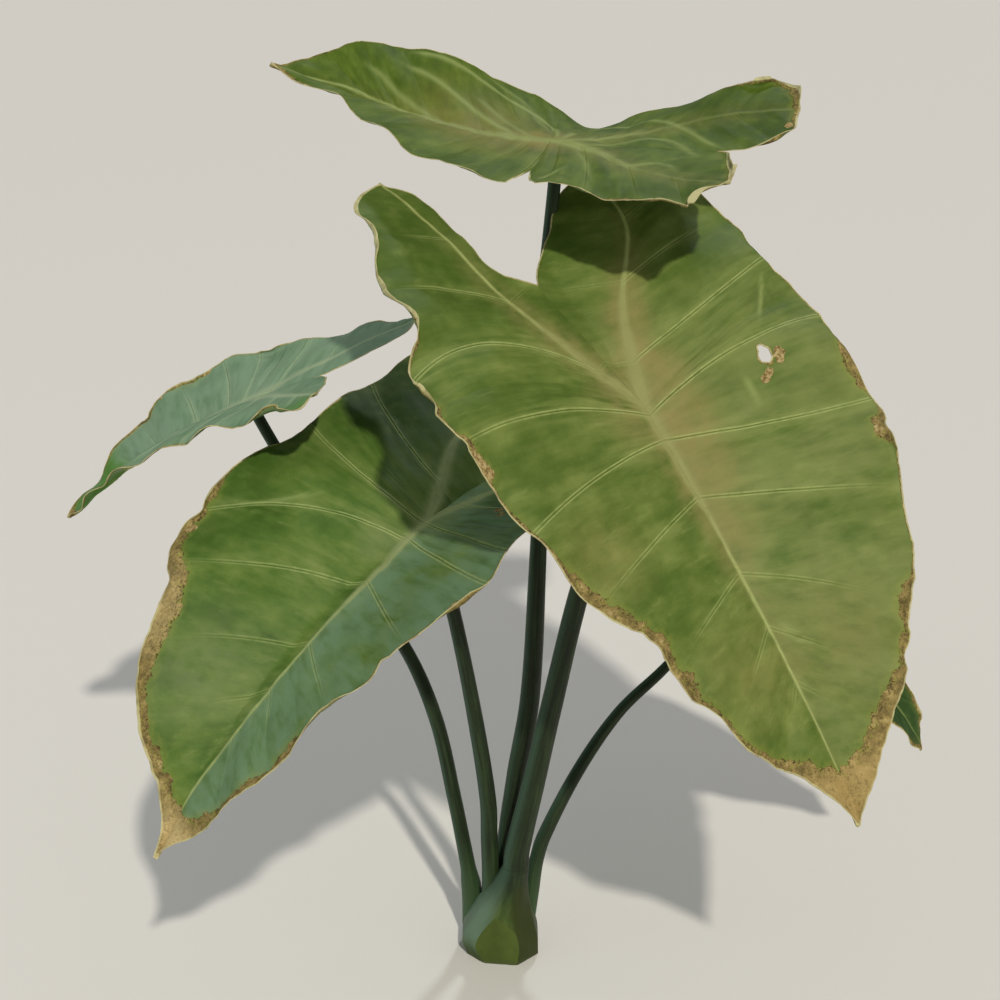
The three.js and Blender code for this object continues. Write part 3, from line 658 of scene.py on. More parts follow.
def grid_between(rows, start, to, c, bow, side):
    """Flat points from the spine to a border, with what each point knows."""
    length = np.hypot(*(to - start).T)[:, None]
    u = mix(start[:, :1], to[:, :1], c) - 4 * c * (1 - c) * bow[:, None] * length
    v = mix(start[:, 1:], to[:, 1:], c)
    station, share = rows["station"][:, None], rows["share"][:, None]
    nearest = np.where(share < 0.5, station, station + 1)
    strength = np.array(STATION_STRENGTH)[nearest]
    fade = np.array(STATION_REACH)[nearest]
    fading = np.where(fade < 1, 1 - ease((c - fade * 0.5) / (fade * 0.7)), 1 - 0.35 * c)
    whole = np.ones_like(c)
    return {
        "flat": np.stack([u, v], 2),
        "c": c,
        "between": share * whole,
        "along": c * length,
        "across": (station + share) * GRAIN_BETWEEN_VEINS * whole + GRAIN_BETWEEN_SIDES * side,
        "strength": strength * fading,
        "depth": rows["depth"][:, None] * whole,
        "half_width": rows["half_width"][:, None] * whole,
        "vein_rows": np.flatnonzero((share == 0) & (strength > 0)),
    }


def outer_grid(leaf, rows, start, side, seed):
    """One half of the blade, from its spine to its margin."""
    margin = curve([leaf["tip"], *leaf["margins"][side], leaf["lobes"][side]])
    end = read_stations(from_margin(leaf["ends"][side], 1), rows["station"], rows["share"])
    bow = read_stations(from_margin(leaf["bows"][side], 0), rows["station"], rows["share"])
    to = frayed(leaf, margin(end), start, seed + 10 * side)
    middle = spread(leaf["columns"])
    if leaf["finer"] and side == 0:
        middle = closer(middle, *leaf["finer"]["columns"])
    length = np.hypot(*(to - start).T)
    c = across_row(length, rows["half_width"], BLADE_RIB_SHARE, middle)
    grid = grid_between(rows, start, to, c, bow, side)
    amplitude, waves, phase = leaf["wave"]
    wave = amplitude * c**3 * np.sin(2 * np.pi * waves * end + phase)[:, None]
    quilt = np.sin(np.pi * c) * np.sin(np.pi * grid["between"]) ** 0.8
    grid["lift"] = PUFF * quilt + wave * (length > 1e-3)[:, None]
    grid["strength"] *= leaf["vein_weights"][side]
    return {**grid, "rim": to, "flip": side == 1}


def sinus_grid(leaf, rows, start, side, seed):
    """The strip between a lobe's rib and the sinus."""
    edge = curve([leaf["sinus"], *leaf["edges"][side][::-1], leaf["lobes"][side]])
    past = (rows["spine"] - CORNER_SPINE) / (1 - CORNER_SPINE)
    to_corner = (rows["spine"] - JUNCTION) / (CORNER_SPINE - JUNCTION)
    centre = np.minimum(to_corner, 1)[:, None] * np.array([leaf["sinus"]], float)
    inner = np.where((past > 0)[:, None], edge(np.maximum(past, 0)), centre)
    fray = frayed(leaf, inner, start, seed + 50 + side) - inner
    inner = inner + 0.6 * fray * ease(past / 0.08)[:, None]
    length = np.hypot(*(inner - start).T)
    c = across_row(length, rows["half_width"], STRIP_RIB_SHARE, spread(STRIP_COLUMNS))
    grid = grid_between(rows, start, inner, c, np.zeros(len(length)), side)
    grid["lift"] = 0.6 * PUFF * np.sin(np.pi * c) * np.sin(np.pi * grid["between"])
    grid["strength"] *= 0.35
    return {**grid, "rim": inner[past >= 0], "flip": side == 0}


def blade_grids(leaf, seed):
    """Four grids: for each side the half of the blade, then its strip by the sinus."""
    rows = blade_rows(leaf)
    behind = rows["station"] >= JUNCTION_STATION
    rows_behind = {key: values[behind] for key, values in rows.items()}
    main_rib = curve([leaf["tip"], *leaf["spine"], [0, 0]])
    front = main_rib(np.minimum(rows["spine"] / JUNCTION, 1))
    to_lobe = np.maximum((rows["spine"] - JUNCTION) / (1 - JUNCTION), 0)
    grids = []
    for side in (0, 1):
        back = curve([[0, 0], *leaf["ribs"][side], leaf["lobes"][side]])(to_lobe)
        start = np.where((rows["spine"] <= JUNCTION)[:, None], front, back)
        grids.append(outer_grid(leaf, rows, start, side, seed))
        grids.append(sinus_grid(leaf, rows_behind, start[behind], side, seed))
    return grids


def quads_of(rows, columns, start, flip):
    index = np.arange(rows * columns).reshape(rows, columns) + start
    corners = [index[:-1, :-1], index[:-1, 1:], index[1:, 1:], index[1:, :-1]]
    quads = np.stack(corners, 2).reshape(-1, 4)
    return quads[:, ::-1] if flip else quads


POINT_FACTS = ["c", "between", "along", "across", "strength", "lift", "depth", "half_width"]


def weld(grids):
    """Joins the grids into one sheet: shared flat points, their facts, and its quads."""
    quads = []
    start = 0
    for grid in grids:
        quads.append(quads_of(*grid["c"].shape, start, grid["flip"]))
        start += grid["c"].size
    flat = np.concatenate([grid["flat"].reshape(-1, 2) for grid in grids])
    _, first, index = np.unique(
        np.round(flat, 3), axis=0, return_index=True, return_inverse=True
    )
    sheet = {"flat": flat[first], "quads": index.ravel()[np.concatenate(quads)]}
    for fact in POINT_FACTS:
        sheet[fact] = np.concatenate([grid[fact].ravel() for grid in grids])[first]
    return sheet


def inside(points, outline):
    """Whether flat points lie inside a closed outline."""
    hit = np.zeros(len(points), bool)
    for a, b in zip(outline, np.roll(outline, -1, axis=0)):
        crosses = (a[1] > points[:, 1]) != (b[1] > points[:, 1])
        rise = b[1] - a[1] if b[1] != a[1] else 1e-9
        hit ^= crosses & (points[:, 0] < a[0] + (points[:, 1] - a[1]) / rise * (b[0] - a[0]))
    return hit


def tear_hole(sheet, outline):
    """Takes out the quads inside the hole and draws the rest up to its ragged rim."""
    outline = np.array(outline, float)
    quads = sheet["quads"]
    gone = inside(sheet["flat"][quads].mean(axis=1), outline)
    rim = np.intersect1d(quads[gone], quads[~gone])
    _, place = near_line(sheet["flat"][rim], [np.vstack([outline, outline[:1]])])
    ragged = 0.6 * np.stack([bumps(place, 2.1, 71), bumps(place, 2.3, 72)], 1)
    sheet["flat"][rim] = place + ragged
    sheet["quads"] = quads[~gone]
    order = np.argsort(np.arctan2(*(sheet["flat"][rim] - outline.mean(axis=0)).T))
    ring = sheet["flat"][rim][order]
    return np.vstack([ring, ring[:1]])


def faces_of(quads):
    """Quads as lists, with the corners that were welded together taken once."""
    faces = [list(dict.fromkeys(quad)) for quad in quads.tolist()]
    return [face for face in faces if len(face) > 2]


def open_edges(faces):
    loose = {}
    for face in faces:
        for p, q in zip(face, face[1:] + face[:1]):
            if (q, p) in loose:
                del loose[(q, p)]
            else:
                loose[(p, q)] = True
    return list(loose)


def normals_of(positions, quads):
    a, b, c, d = (positions[quads[:, i]] for i in range(4))
    face = np.cross(c - a, d - b)
    total = np.zeros_like(positions)
    for i in range(4):
        np.add.at(total, quads[:, i], face)
    return total / np.maximum(np.linalg.norm(total, axis=1), 1e-12)[:, None]


def dry_width(leaf, sheet, sinus_distance):
    """Width of the dried border that belongs to each point's stretch of margin."""
    u, v = sheet["place"].T
    left, right = (np.interp(u, *np.array(table, float)[::-1].T) for table in leaf["dry"])
    width = np.where(v >= 0, left, right)
    width = np.where(sinus_distance < sheet["rim"] + 0.01, SINUS_EDGE_DRY, width)
    return width + places_on(sheet["place"], leaf["parched"])


def ease_from_tip(leaf, sheet):
    """0 at the tip, 1 from some way down the margin on."""
    return ease(np.hypot(*(sheet["place"] - leaf["tip"]).T) / TIP_FADE)


def rim_line(leaf, sheet):
    """Width of the pale line along the very edge."""
    width = leaf["pale_rim"] + 0.4 * bumps(sheet["place"], 22, 9)
    width += places_on(sheet["place"], leaf["cream"])
    return width * (0.4 + 0.6 * ease_from_tip(leaf, sheet))


def outward(sheet):
    """Way to the nearest margin; at the margin itself it comes from the points inside."""
    out = sheet["place"] - sheet["flat"]
    size = np.hypot(*out.T)
    way = out / np.maximum(size, 1e-6)[:, None]
    inner = size > 0.3
    total = np.zeros_like(out)
    for i in range(4):
        for j in range(4):
            a, b = sheet["quads"][:, i], sheet["quads"][:, j]
            use = ~inner[a] & inner[b]
            np.add.at(total, a[use], way[b[use]])
    total /= np.maximum(np.hypot(*total.T), 1e-6)[:, None]
    return np.where(inner[:, None], way, total)


def rolled(leaf, sheet, seed):
    """Shift in the drawing, and lift, of the rolled margin."""
    degrees = LOOSE_CURL + UNEVEN_CURL * bumps(sheet["place"], 30, seed + 5)
    degrees += places_on(sheet["place"], leaf["curls"])
    bow = np.radians(degrees * ease_from_tip(leaf, sheet)) / CURL_DEPTH
    bow = np.where(np.abs(bow) < 1e-4, 1e-4, bow)
    s = np.clip(CURL_DEPTH - sheet["rim"], 0, None)
    shift = np.sin(bow * s) / bow - s
    return outward(sheet) * shift[:, None], (1 - np.cos(bow * s)) / bow


def marks_on(leaf, flat):
    """How strongly the extra pale lines of the drawing show at each point."""
    total = np.zeros(len(flat))
    for half_width, strength, points in leaf["marks"]:
        line = curve(points)(np.linspace(0, 1, 30))
        distance, place = near_line(flat, [line])
        ends = np.minimum(np.hypot(*(place - line[0]).T), np.hypot(*(place - line[-1]).T))
        shown = np.exp(-((distance / half_width) ** 2)) * (0.25 + 0.75 * ease(ends / 12))
        total = np.maximum(total, strength * shown)
    return total


def leaf_sheet(leaf, seed):
    """The blade as one sheet of points, with all that its relief and colours need."""
    grids = blade_grids(leaf, seed)
    sheet = weld(grids)
    rims = [grid["rim"] for grid in grids]
    if leaf["hole"]:
        rims.append(tear_hole(sheet, leaf["hole"]))
    flat = sheet["flat"]
    sheet["vein"], _ = near_line(flat, [grid["flat"][i] for grid in grids for i in grid["vein_rows"]])
    sheet["rib"], _ = near_line(flat, [grids[k]["flat"][:, 0] for k in (0, 2)])
    sheet["rim"], sheet["place"] = near_line(flat, rims)
    sinus_distance, _ = near_line(flat, [grids[k]["rim"] for k in (1, 3)])
    sheet["dry"] = dry_width(leaf, sheet, sinus_distance)
    sheet["cream"] = rim_line(leaf, sheet)
    sheet["marks"] = marks_on(leaf, flat)
    return sheet


def under_depth(sheet):
    """How far ribs and veins stand out under the blade."""
    across = np.clip(sheet["rib"] / sheet["half_width"], 0, 1)
    rib = sheet["depth"] * (1 - across**2) ** 0.8
    near = np.clip(sheet["vein"] / VEIN_HALF_WIDTH, 0, 1)
    vein = VEIN_DEPTH * (1 - 0.8 * sheet["c"]) * (0.5 + 0.5 * np.cos(np.pi * near))
    return np.maximum(rib, vein * np.minimum(1, 0.3 + sheet["strength"]))


def over_relief(sheet):
    """Top side: twin ridges with a groove along each vein, and a low rounded midrib."""
    vein = sheet["vein"]
    twin = 0.30 * np.exp(-(((vein - 1.0) / 0.6) ** 2)) - 0.12 * np.exp(-((vein / 0.5) ** 2))
    rib = 0.5 * np.exp(-((sheet["rib"] / (0.6 * sheet["half_width"])) ** 2))
    return twin * sheet["strength"] + rib + 0.3 * sheet["marks"]


def blade_lift(leaf, sheet, seed):
    """Unevenness of the blade: waves across it, furrows along its veins, a crumpled rim."""
    flat = sheet["flat"]
    grain = np.stack([sheet["along"] / 5, sheet["across"]], 1)
    wave = 1.1 * bumps(flat, 30, seed + 6) + 0.30 * bumps(flat, 13, seed)
    wave += 0.14 * bumps(flat, 6, seed + 1)
    furrow = 0.55 * bumps(grain, 11, seed + 7) + 0.20 * bumps(grain, 4.4, seed + 2)
    crinkle = 1.2 * bumps(flat, 17, seed + 3) + 0.6 * bumps(flat, 7, seed + 4)
    uneven = wave + furrow * ease(sheet["rim"] / 12)
    uneven += crinkle * np.exp(-sheet["rim"] / 9) * leaf["crinkle"]
    return sheet["lift"] + uneven * ease(np.hypot(*flat.T) / 24 - 0.4)


def put_mesh(name, vertices, faces, smooth_angle=SMOOTH_ANGLE):
    mesh = bpy.data.meshes.new(name)
    mesh.from_pydata((vertices * MM).tolist(), [], faces)
    mesh.validate()
    mesh.shade_smooth()
    mesh.set_sharp_from_angle(angle=math.radians(smooth_angle))
    piece = bpy.data.objects.new(name, mesh)
    bpy.context.scene.collection.objects.link(piece)
    return piece


def put_fact(piece, name, columns):
    """Stores three numbers for each point, for the material to read."""
    values = np.stack(columns, 1).astype(np.float32)
    attribute = piece.data.attributes.new(name, "FLOAT_VECTOR", "POINT")
    attribute.data.foreach_set("vector", values.ravel())


def make_blade(name, seed):
    leaf = BLADES[name]
    sheet = leaf_sheet(leaf, seed)
    flat, quads = sheet["flat"], sheet["quads"]
    up = normals_of(bend(leaf, flat), quads)
    shift, roll = rolled(leaf, sheet, seed)
    waved = bend(leaf, flat + shift) + up * (blade_lift(leaf, sheet, seed) + roll)[:, None]
    up = normals_of(waved, quads)
    half = mix(RIM_THICKNESS, BLADE_THICKNESS, ease(sheet["rim"] / 5)) / 2
    top = waved + up * (half + over_relief(sheet))[:, None]
    under = waved - up * (half + under_depth(sheet))[:, None]
    count = len(flat)
    upper = faces_of(quads)
    faces = upper + [[count + i for i in reversed(face)] for face in upper]
    faces += [[q, p, count + p, count + q] for p, q in open_edges(upper)]
    piece = put_mesh(f"blade_{name}", np.vstack([top, under]), faces)
    put_blade_facts(piece, leaf, sheet, seed)
    piece.data.materials.append(blade_material(name))
    return piece


def put_blade_facts(piece, leaf, sheet, seed):
    """What the blade's material reads; lengths on the drawing are in cm there."""
    flat = sheet["flat"]
    u, v = flat.T
    none = np.zeros(len(flat))
    midrib = np.array([leaf["sinus"], [0, 0], *leaf["spine"][::-1], leaf["tip"]], float)
    left = ease((v - np.interp(u, *midrib.T)) / 7 + 0.5)
    start, full = leaf["bloom_from"]
    bloom = mix(leaf["bloom"][1], leaf["bloom"][0], left) * ease((u - start) / (full - start))
    spots = places_on(flat, [[*spot, 1] for spot in leaf["spots"]])
    tint, dusk = places_on(flat, leaf["tints"]), places_on(flat, leaf["dusk"])
    facts = {
        "flat": [u / 10, v / 10, none + seed],
        "lines": [sheet["vein"], sheet["strength"], sheet["rib"] / sheet["half_width"]],
        "border": [sheet["rim"], sheet["dry"], np.minimum(spots, 1)],
        "grain": [sheet["along"] / 10, sheet["across"] / 10, sheet["c"]],
        "tone": [bloom, sheet["cream"], none],
        "touch": [np.minimum(tint, 1), sheet["marks"], np.minimum(dusk, 1)],
    }
    for name, columns in facts.items():
        both = [np.tile(column, 2) for column in columns]
        if name == "tone":
            both[2][len(flat):] = 1
        put_fact(piece, name, both)


def junction_frame(leaf):
    """Ways along, across and out of the blade where its petiole meets it."""
    r = JUNCTION_REACH
    ahead, behind, left, right = bend(leaf, [[r, 0], [-r, 0], [0, r], [0, -r]])
    along = unit(ahead - behind)
    over = left - right
    out = unit(np.cross(along, over))
    return along, np.cross(out, along), out


def below_blade(leaf, points):
    """Keeps a petiole's end inside the blade's thickness, whatever the blade's fold."""
    along, over, out = junction_frame(leaf)
    off = points - leaf["at"]
    flat = np.stack([off @ along, off @ over], 1) / leaf["size"]
    height = (points - bend(leaf, flat)) @ out
    return points - np.maximum(height + END_DEPTH, 0)[:, None] * out


def petiole_line(name):
    """Centres and radii of a petiole's rings, from inside the base to the blade."""
    path, radii = PETIOLES[name]["path"], PETIOLES[name]["radii"]
    joint = np.array(BLADES[name]["at"], float)
    way = unit(unit(joint - path[-1]) + HUB_LEAN * junction_frame(BLADES[name])[2])
    end = joint - way * (HUB_LENGTH + HUB_GAP)
    even = np.linspace(0, 1, PETIOLE_RINGS)
    share = mix(even, even**2, FOOT_CROWDING)
    centres = curve([*path, end - way * STRAIGHT, end])(share)
    radius = curve([[s * 1000, r] for s, r in radii])(share)[:, 1]
    rise = np.linspace(0, 1, HUB_RINGS + 1)[1:]
    hub = end + way * (rise * (HUB_LENGTH + HUB_GAP - HUB_SUNK))[:, None]
    flare = radius[-1] + HUB_FLARE * rise**2.4
    foot = centres[0] - [0, 0, SUNK_FOOT]
    return np.vstack([foot, centres, hub]), np.r_[radius[0], radius, flare]


def tube(centres, radius, sides, shape):
    """Rings of points along a line, each turned as little as it can be from the last."""
    ways = np.gradient(centres, axis=0)
    side = np.array([1.0, 0, 0])
    angle = 2 * np.pi * np.arange(sides) / sides
    rings = []
    for centre, way, r in zip(centres, ways, radius):
        axis = unit(way)
        side = unit(side - axis * (side @ axis))
        ring = np.cos(angle)[:, None] * side + np.sin(angle)[:, None] * np.cross(axis, side)
        rings.append(centre + (r * shape)[:, None] * ring)
    return np.array(rings)


def tube_faces(rings, sides):
    """Quads round a closed tube, and a flat cap at each end."""
    index = np.arange(rings * sides).reshape(rings, sides)
    after = np.roll(index, -1, axis=1)
    corners = [index[:-1], after[:-1], after[1:], index[1:]]
    faces = np.stack(corners, 2).reshape(-1, 4).tolist()
    return faces + [index[0, ::-1].tolist(), index[-1].tolist()]


def make_petiole(name, seed):
    centres, radius = petiole_line(name)
    angle = 2 * np.pi * np.arange(PETIOLE_SIDES) / PETIOLE_SIDES
    shape = 1 + 0.02 * np.cos(2 * angle + seed) + 0.012 * np.cos(5 * angle + 2 * seed)
    along = np.r_[0, np.cumsum(np.linalg.norm(np.diff(centres, axis=0), axis=1))]
    drift = np.stack([along, np.full(len(along), 10.0 * seed)], 1)
    radius = radius * (1 + 0.018 * bumps(drift, 38, 300 + seed))
    rings = tube(centres, radius, PETIOLE_SIDES, shape)
    last = below_blade(BLADES[name], rings[-HUB_RINGS:].reshape(-1, 3))
    rings[-HUB_RINGS:] = last.reshape(HUB_RINGS, PETIOLE_SIDES, 3)
    faces = tube_faces(len(rings), PETIOLE_SIDES)
    piece = put_mesh(f"stalk_{name}", rings.reshape(-1, 3), faces)
    turn = np.tile(angle / (2 * np.pi), len(rings))
    put_fact(piece, "stalk", [turn, np.repeat(along / 10, PETIOLE_SIDES), 0 * turn])
    piece.data.materials.append(petiole_material(name, seed))
    return piece


def make_base():
    """The base's rings joined smoothly; its eight sides round off toward the petiole."""
    rings = np.array(BASE_RINGS, float)
    levels = curve(np.c_[rings[:, 0] * 3, rings])(np.linspace(0, 1, BASE_STEPS))[:, 1:]
    levels[0, 0] = 0
    angle = 2 * np.pi * np.arange(BASE_SMOOTH_SIDES) / BASE_SMOOTH_SIDES
    facet = 2 * np.pi / BASE_SIDES
    points = []
    for z, x, y, a, b, turn in levels:
        off = (angle - math.radians(turn)) % facet
        flat_side = math.cos(facet / 2) / np.cos(np.minimum(off, facet - off))
        r = mix(flat_side, 0.97, mix(CORNER_ROUNDING, 1, ease((z - 20) / 55)))
        ring = [x + a * r * np.cos(angle), y + b * r * np.sin(angle), np.full(len(angle), max(z, 0))]
        points.append(np.stack(ring, 1))
    points = np.array(points).reshape(-1, 3)
    way = unit(np.array(CUT_WAY))
    over = (points - CUT_POINT) @ way
    points -= np.maximum(over, 0)[:, None] * way
    points[:, 2] = np.maximum(points[:, 2], 0)
    piece = put_mesh("swollen_base", points, tube_faces(BASE_STEPS, BASE_SMOOTH_SIDES),
                     BASE_SMOOTH_ANGLE)
    put_fact(piece, "stalk", [np.tile(angle / (2 * np.pi), BASE_STEPS), points[:, 2] / 10, over])
    piece.data.materials.append(base_material())
    return piece


def srgb(code):
    """Linear colour of a web colour code."""
    parts = [int(code[i:i + 2], 16) / 255 for i in (1, 3, 5)]
    linear = [c / 12.92 if c <= 0.04045 else ((c + 0.055) / 1.055) ** 2.4 for c in parts]
    return (*linear, 1.0)


class Value:
    """A number or colour of a material, worked with as in plain arithmetic."""

    def __init__(self, shader, socket):
        self.shader = shader
        self.socket = socket

    def __add__(self, other):
        return self.shader.math("ADD", self, other)

    def __sub__(self, other):
        return self.shader.math("SUBTRACT", self, other)

    def __mul__(self, other):
        return self.shader.math("MULTIPLY", self, other)

    def __truediv__(self, other):
        return self.shader.math("DIVIDE", self, other)

    __radd__ = __add__
    __rmul__ = __mul__

    def between(self, low, high):
        """0 where the value is at low, 1 where it is at high, and smooth between them."""
        inputs = {"Value": self, "From Min": low, "From Max": high}
        return self.shader.node("ShaderNodeMapRange", inputs, interpolation_type="SMOOTHSTEP")

    def ramp(self, places, colors):
        """A colour for each of some places of the value, and blends between them."""
        color = self.shader.node("ShaderNodeValToRGB", {0: self})
        steps = color.socket.node.color_ramp.elements
        while len(steps) < len(places):
            steps.new(0.5)
        for step, place, code in zip(steps, places, colors):
            step.position = place
            step.color = srgb(code)
        return color

    def paint(self, over, amount):
        """Lays another colour over this one by an amount."""
        return self.shader.blend(self, over, amount)


class Shader:
    """Short calls for the nodes of one material."""

    def __init__(self, name):
        self.material = bpy.data.materials.new(name)
        self.material.use_nodes = True
        self.tree = self.material.node_tree

    def node(self, kind, inputs, output=0, **settings):
        """Adds a node and gives one of its outputs."""
        made = self.tree.nodes.new(kind)
        for key, value in settings.items():
            setattr(made, key, value)
        self.feed(made, inputs)
        return Value(self, made.outputs[output])

    def feed(self, node, inputs):
        for key, value in inputs.items():
            if isinstance(value, Value):
                self.tree.links.new(value.socket, node.inputs[key])
            else:
                value = srgb(value) if isinstance(value, str) else value
                node.inputs[key].default_value = value

    def fact(self, name):
        """The three numbers that each point of the mesh carries under this name."""
        vector = self.node("ShaderNodeAttribute", {}, "Vector", attribute_name=name)
        first = self.node("ShaderNodeSeparateXYZ", {0: vector})
        return [vector, *(Value(self, part) for part in first.socket.node.outputs)]

    def vector(self, x, y, z):
        return self.node("ShaderNodeCombineXYZ", {0: x, 1: y, 2: z})

    def math(self, operation, a, b=0.0):
        return self.node("ShaderNodeMath", {0: a, 1: b}, operation=operation)

    def noise(self, vector, scale, detail=3.0, roughness=0.55):
        inputs = {"Vector": vector, "Scale": scale, "Detail": detail, "Roughness": roughness}
        return self.node("ShaderNodeTexNoise", inputs)

    def blend(self, under, over, amount):
        return self.node("ShaderNodeMix", {0: amount, 6: under, 7: over}, 2, data_type="RGBA")

    def finish(self, color, roughness, height, depth, specular=None):
        """Sets the surface; its fine relief is as deep as depth, in metres."""
        bump = {"Height": height, "Distance": depth, "Strength": 1.0}
        surface = self.tree.nodes["Principled BSDF"]
        normal = self.node("ShaderNodeBump", bump)
        self.feed(surface, {"Base Color": color, "Roughness": roughness, "Normal": normal})
        if specular is not None:
            surface.inputs["Specular IOR Level"].default_value = specular
        return self.material


# Greens of each blade from its darkest to its palest patches, the dusty bloom
# on it, partly its waxy bloom and partly painted sheen of light glancing off it, its
# second tint, its ribs, veins and dried tip, how brown it is round the junction, how
# soft its veins look, and how plain its lobe ribs are
PALETTES = {
    "front_right": dict(
        greens=["#42591c", "#576c2b", "#6a7b39", "#83904e"], bloom="#81884f", tint="#8e854c",
        rib="#92945c", vein="#a3af6a", dry="#b29a62", warmth=0.95, soft=0.2, lobe_ribs=1.0,
    ),
    "front_left": dict(
        greens=["#395519", "#4f6b27", "#647a35", "#7c8a4a"], bloom="#6d8a68", tint="#7f8b5e",
        rib="#929c68", vein="#9eac6b", dry="#d2bb84", warmth=0.15, soft=0.15, lobe_ribs=1.0,
    ),
    "top": dict(
        greens=["#364c10", "#495f17", "#5a6e22", "#707d38"], bloom="#5a704a", tint="#8a7f3c",
        rib="#879252", vein="#8c9a5a", dry="#a79a70", warmth=0.45, soft=0.9, lobe_ribs=0.22,
    ),
    # its tint is a painted glow of light shining through the blade's tip
    "back_left": dict(
        greens=["#4c6e4c", "#60805d", "#76906e", "#8ea482"], bloom="#7c967a", tint="#4f7f2c",
        rib="#96a884", vein="#98ac84", dry="#a79a70", warmth=0.05, soft=0.6, lobe_ribs=1.0,
    ),
    "back_right": dict(
        greens=["#1f3814", "#2d481c", "#3c5826", "#506934"], bloom="#4a653f", tint="#4f7f26",
        rib="#71834c", vein="#6f8148", dry="#a79a70", warmth=0.1, soft=0.2, lobe_ribs=1.0,
    ),
}
UNDER_GREENS = ["#5b7140", "#748757", "#8a9a6c"]
UNDER_VEIN_COLOR = "#a3af6a"
WARM_COLOR = "#938755"
CREAM = "#c6c08e"
DRY_COLORS = ["#5d5230", "#7d6e41", "#978450", "#b5a16c"]
SPECK_COLOR = "#463b20"
SPOT_COLORS = ["#6e5a34", "#9c8656", "#bba97a"]
FRINGE_COLOR = "#8f9340"


def read_facts(s):
    """What the points of a blade know, and what its colours share."""
    p = SimpleNamespace()
    p.flat, p.u, v, _ = s.fact("flat")
    _, p.vein, p.strength, p.rib = s.fact("lines")
    _, p.rim, p.width, p.spots = s.fact("border")
    _, p.along, p.across, p.c = s.fact("grain")
    _, p.bloom, p.cream, p.under = s.fact("tone")
    _, p.tint, p.marks, p.dusk = s.fact("touch")
    place = s.vector(p.u, v, 0.0)
    p.distance = s.node("ShaderNodeVectorMath", {0: place}, "Value", operation="LENGTH")
    p.strokes = s.noise(s.vector(p.along * 0.22, p.across, p.u), 1.0)
    p.groove = p.vein.between(0.6, 0.2) * p.strength
    return p


def blade_material(name):
    look = SimpleNamespace(**PALETTES[name])
    s = Shader(f"blade_{name}")
    p = read_facts(s)
    patchy = s.noise(p.flat, 0.7, 4.0).between(0.28, 0.6)
    color = leaf_green(s, p, look)
    # bloom: dusty blue-green, partly the waxy bloom and partly painted sheen on sides seen at a
    # glancing angle
    color = color.paint(look.bloom, p.bloom * bloom_patches(s, p))
    color = color.paint(look.tint, p.tint * (0.45 + patchy * 0.55))
    # painted shade: darker green over places where the blade curls away from the light or lies in
    # another blade's shadow
    color = color.paint(look.greens[0], p.dusk * (0.4 + patchy * 0.8))
    color = color.paint(WARM_COLOR, warm_patches(s, p) * look.warmth)
    color = color.paint(look.vein, p.marks * 0.8)
    color = draw_veins(s, p, look, color)
    color = draw_ribs(s, p, look, color)
    color = color.paint(underside(s, p), p.under * 0.85)
    # where a tint is full it shows under the blade too; on the back left blade's tip it is a painted
    # glow of light through the leaf
    turned_up = p.under * p.tint.between(0.9, 1.0)
    color = color.paint(look.tint, turned_up * (0.5 + patchy * 0.4))
    color, dried = dry_border(s, p, look, color)
    height = p.strokes * 0.6 + s.noise(p.flat, 14.0, 2.0) * 0.3 - p.groove * 0.25
    height += dried * s.noise(p.flat, 9.0, 4.0) * 1.2
    roughness = 0.50 + dried * 0.3 + p.strokes * 0.12 + p.under * 0.08
    return s.finish(color, roughness, height, BLADE_RELIEF, specular=0.14)


def leaf_green(s, p, look):
    """Mottled green: broad patches, strokes along the veins, paler beside each vein."""
    blotches = s.noise(s.vector(p.along * 0.45, p.across, p.u), 0.7)
    mottle = s.noise(p.flat, 0.3, 5.0) * 0.45 + p.strokes * 0.22 + blotches * 0.33
    color = mottle.ramp([0.33, 0.46, 0.57, 0.70], look.greens)
    middle = p.vein.between(4.0, 17.0) * p.c.between(0.3, 0.8)
    deep = middle * s.noise(p.flat, 0.5).between(0.4, 0.62) * 0.35
    color = color.paint(look.greens[0], deep)
    glow = p.vein.between(12.0, 1.5) * p.strength * p.strokes.between(0.35, 0.62) * 0.55
    color = color.paint(look.greens[3], glow)
    feathers = s.noise(s.vector(p.c * 1.2, p.strokes * 0.6, p.vein * 0.05), 3.0)
    pale = p.strokes.between(0.54, 0.68) * feathers.between(0.45, 0.6) * 0.3
    return color.paint(look.greens[3], pale)


def bloom_patches(s, p):
    return s.noise(p.flat, 0.2, 2.0).between(0.25, 0.6) * 0.5 + p.strokes.between(0.3, 0.6) * 0.4


def warm_patches(s, p):
    """Brownish tint round the junction and along the ribs near it."""
    along_rib = p.rib.between(6.0, 0.6) * p.distance.between(22.0, 3.0)
    both = s.math("MAXIMUM", p.distance.between(6.0, 0.5), along_rib) * 0.75
    return both * (s.noise(p.flat, 0.8, 4.0).between(0.3, 0.62) * 0.6 + p.strokes * 0.5)


def draw_veins(s, p, look, color):
    """Twin pale lines either side of each side vein, or one soft pale stripe."""
    worn = 0.35 + s.noise(p.flat, 1.4).between(0.25, 0.6) * 0.65
    stripe = p.vein.between(4.5, 0.4) * p.strength * worn * (0.75 * look.soft)
    color = color.paint(look.greens[3], stripe)
    twin = p.vein.between(0.3, 0.7) * p.vein.between(1.85, 1.2) * p.strength * worn
    color = color.paint(look.vein, twin * (0.9 - 0.55 * look.soft))
    return color.paint(look.greens[0], p.groove * 0.3)


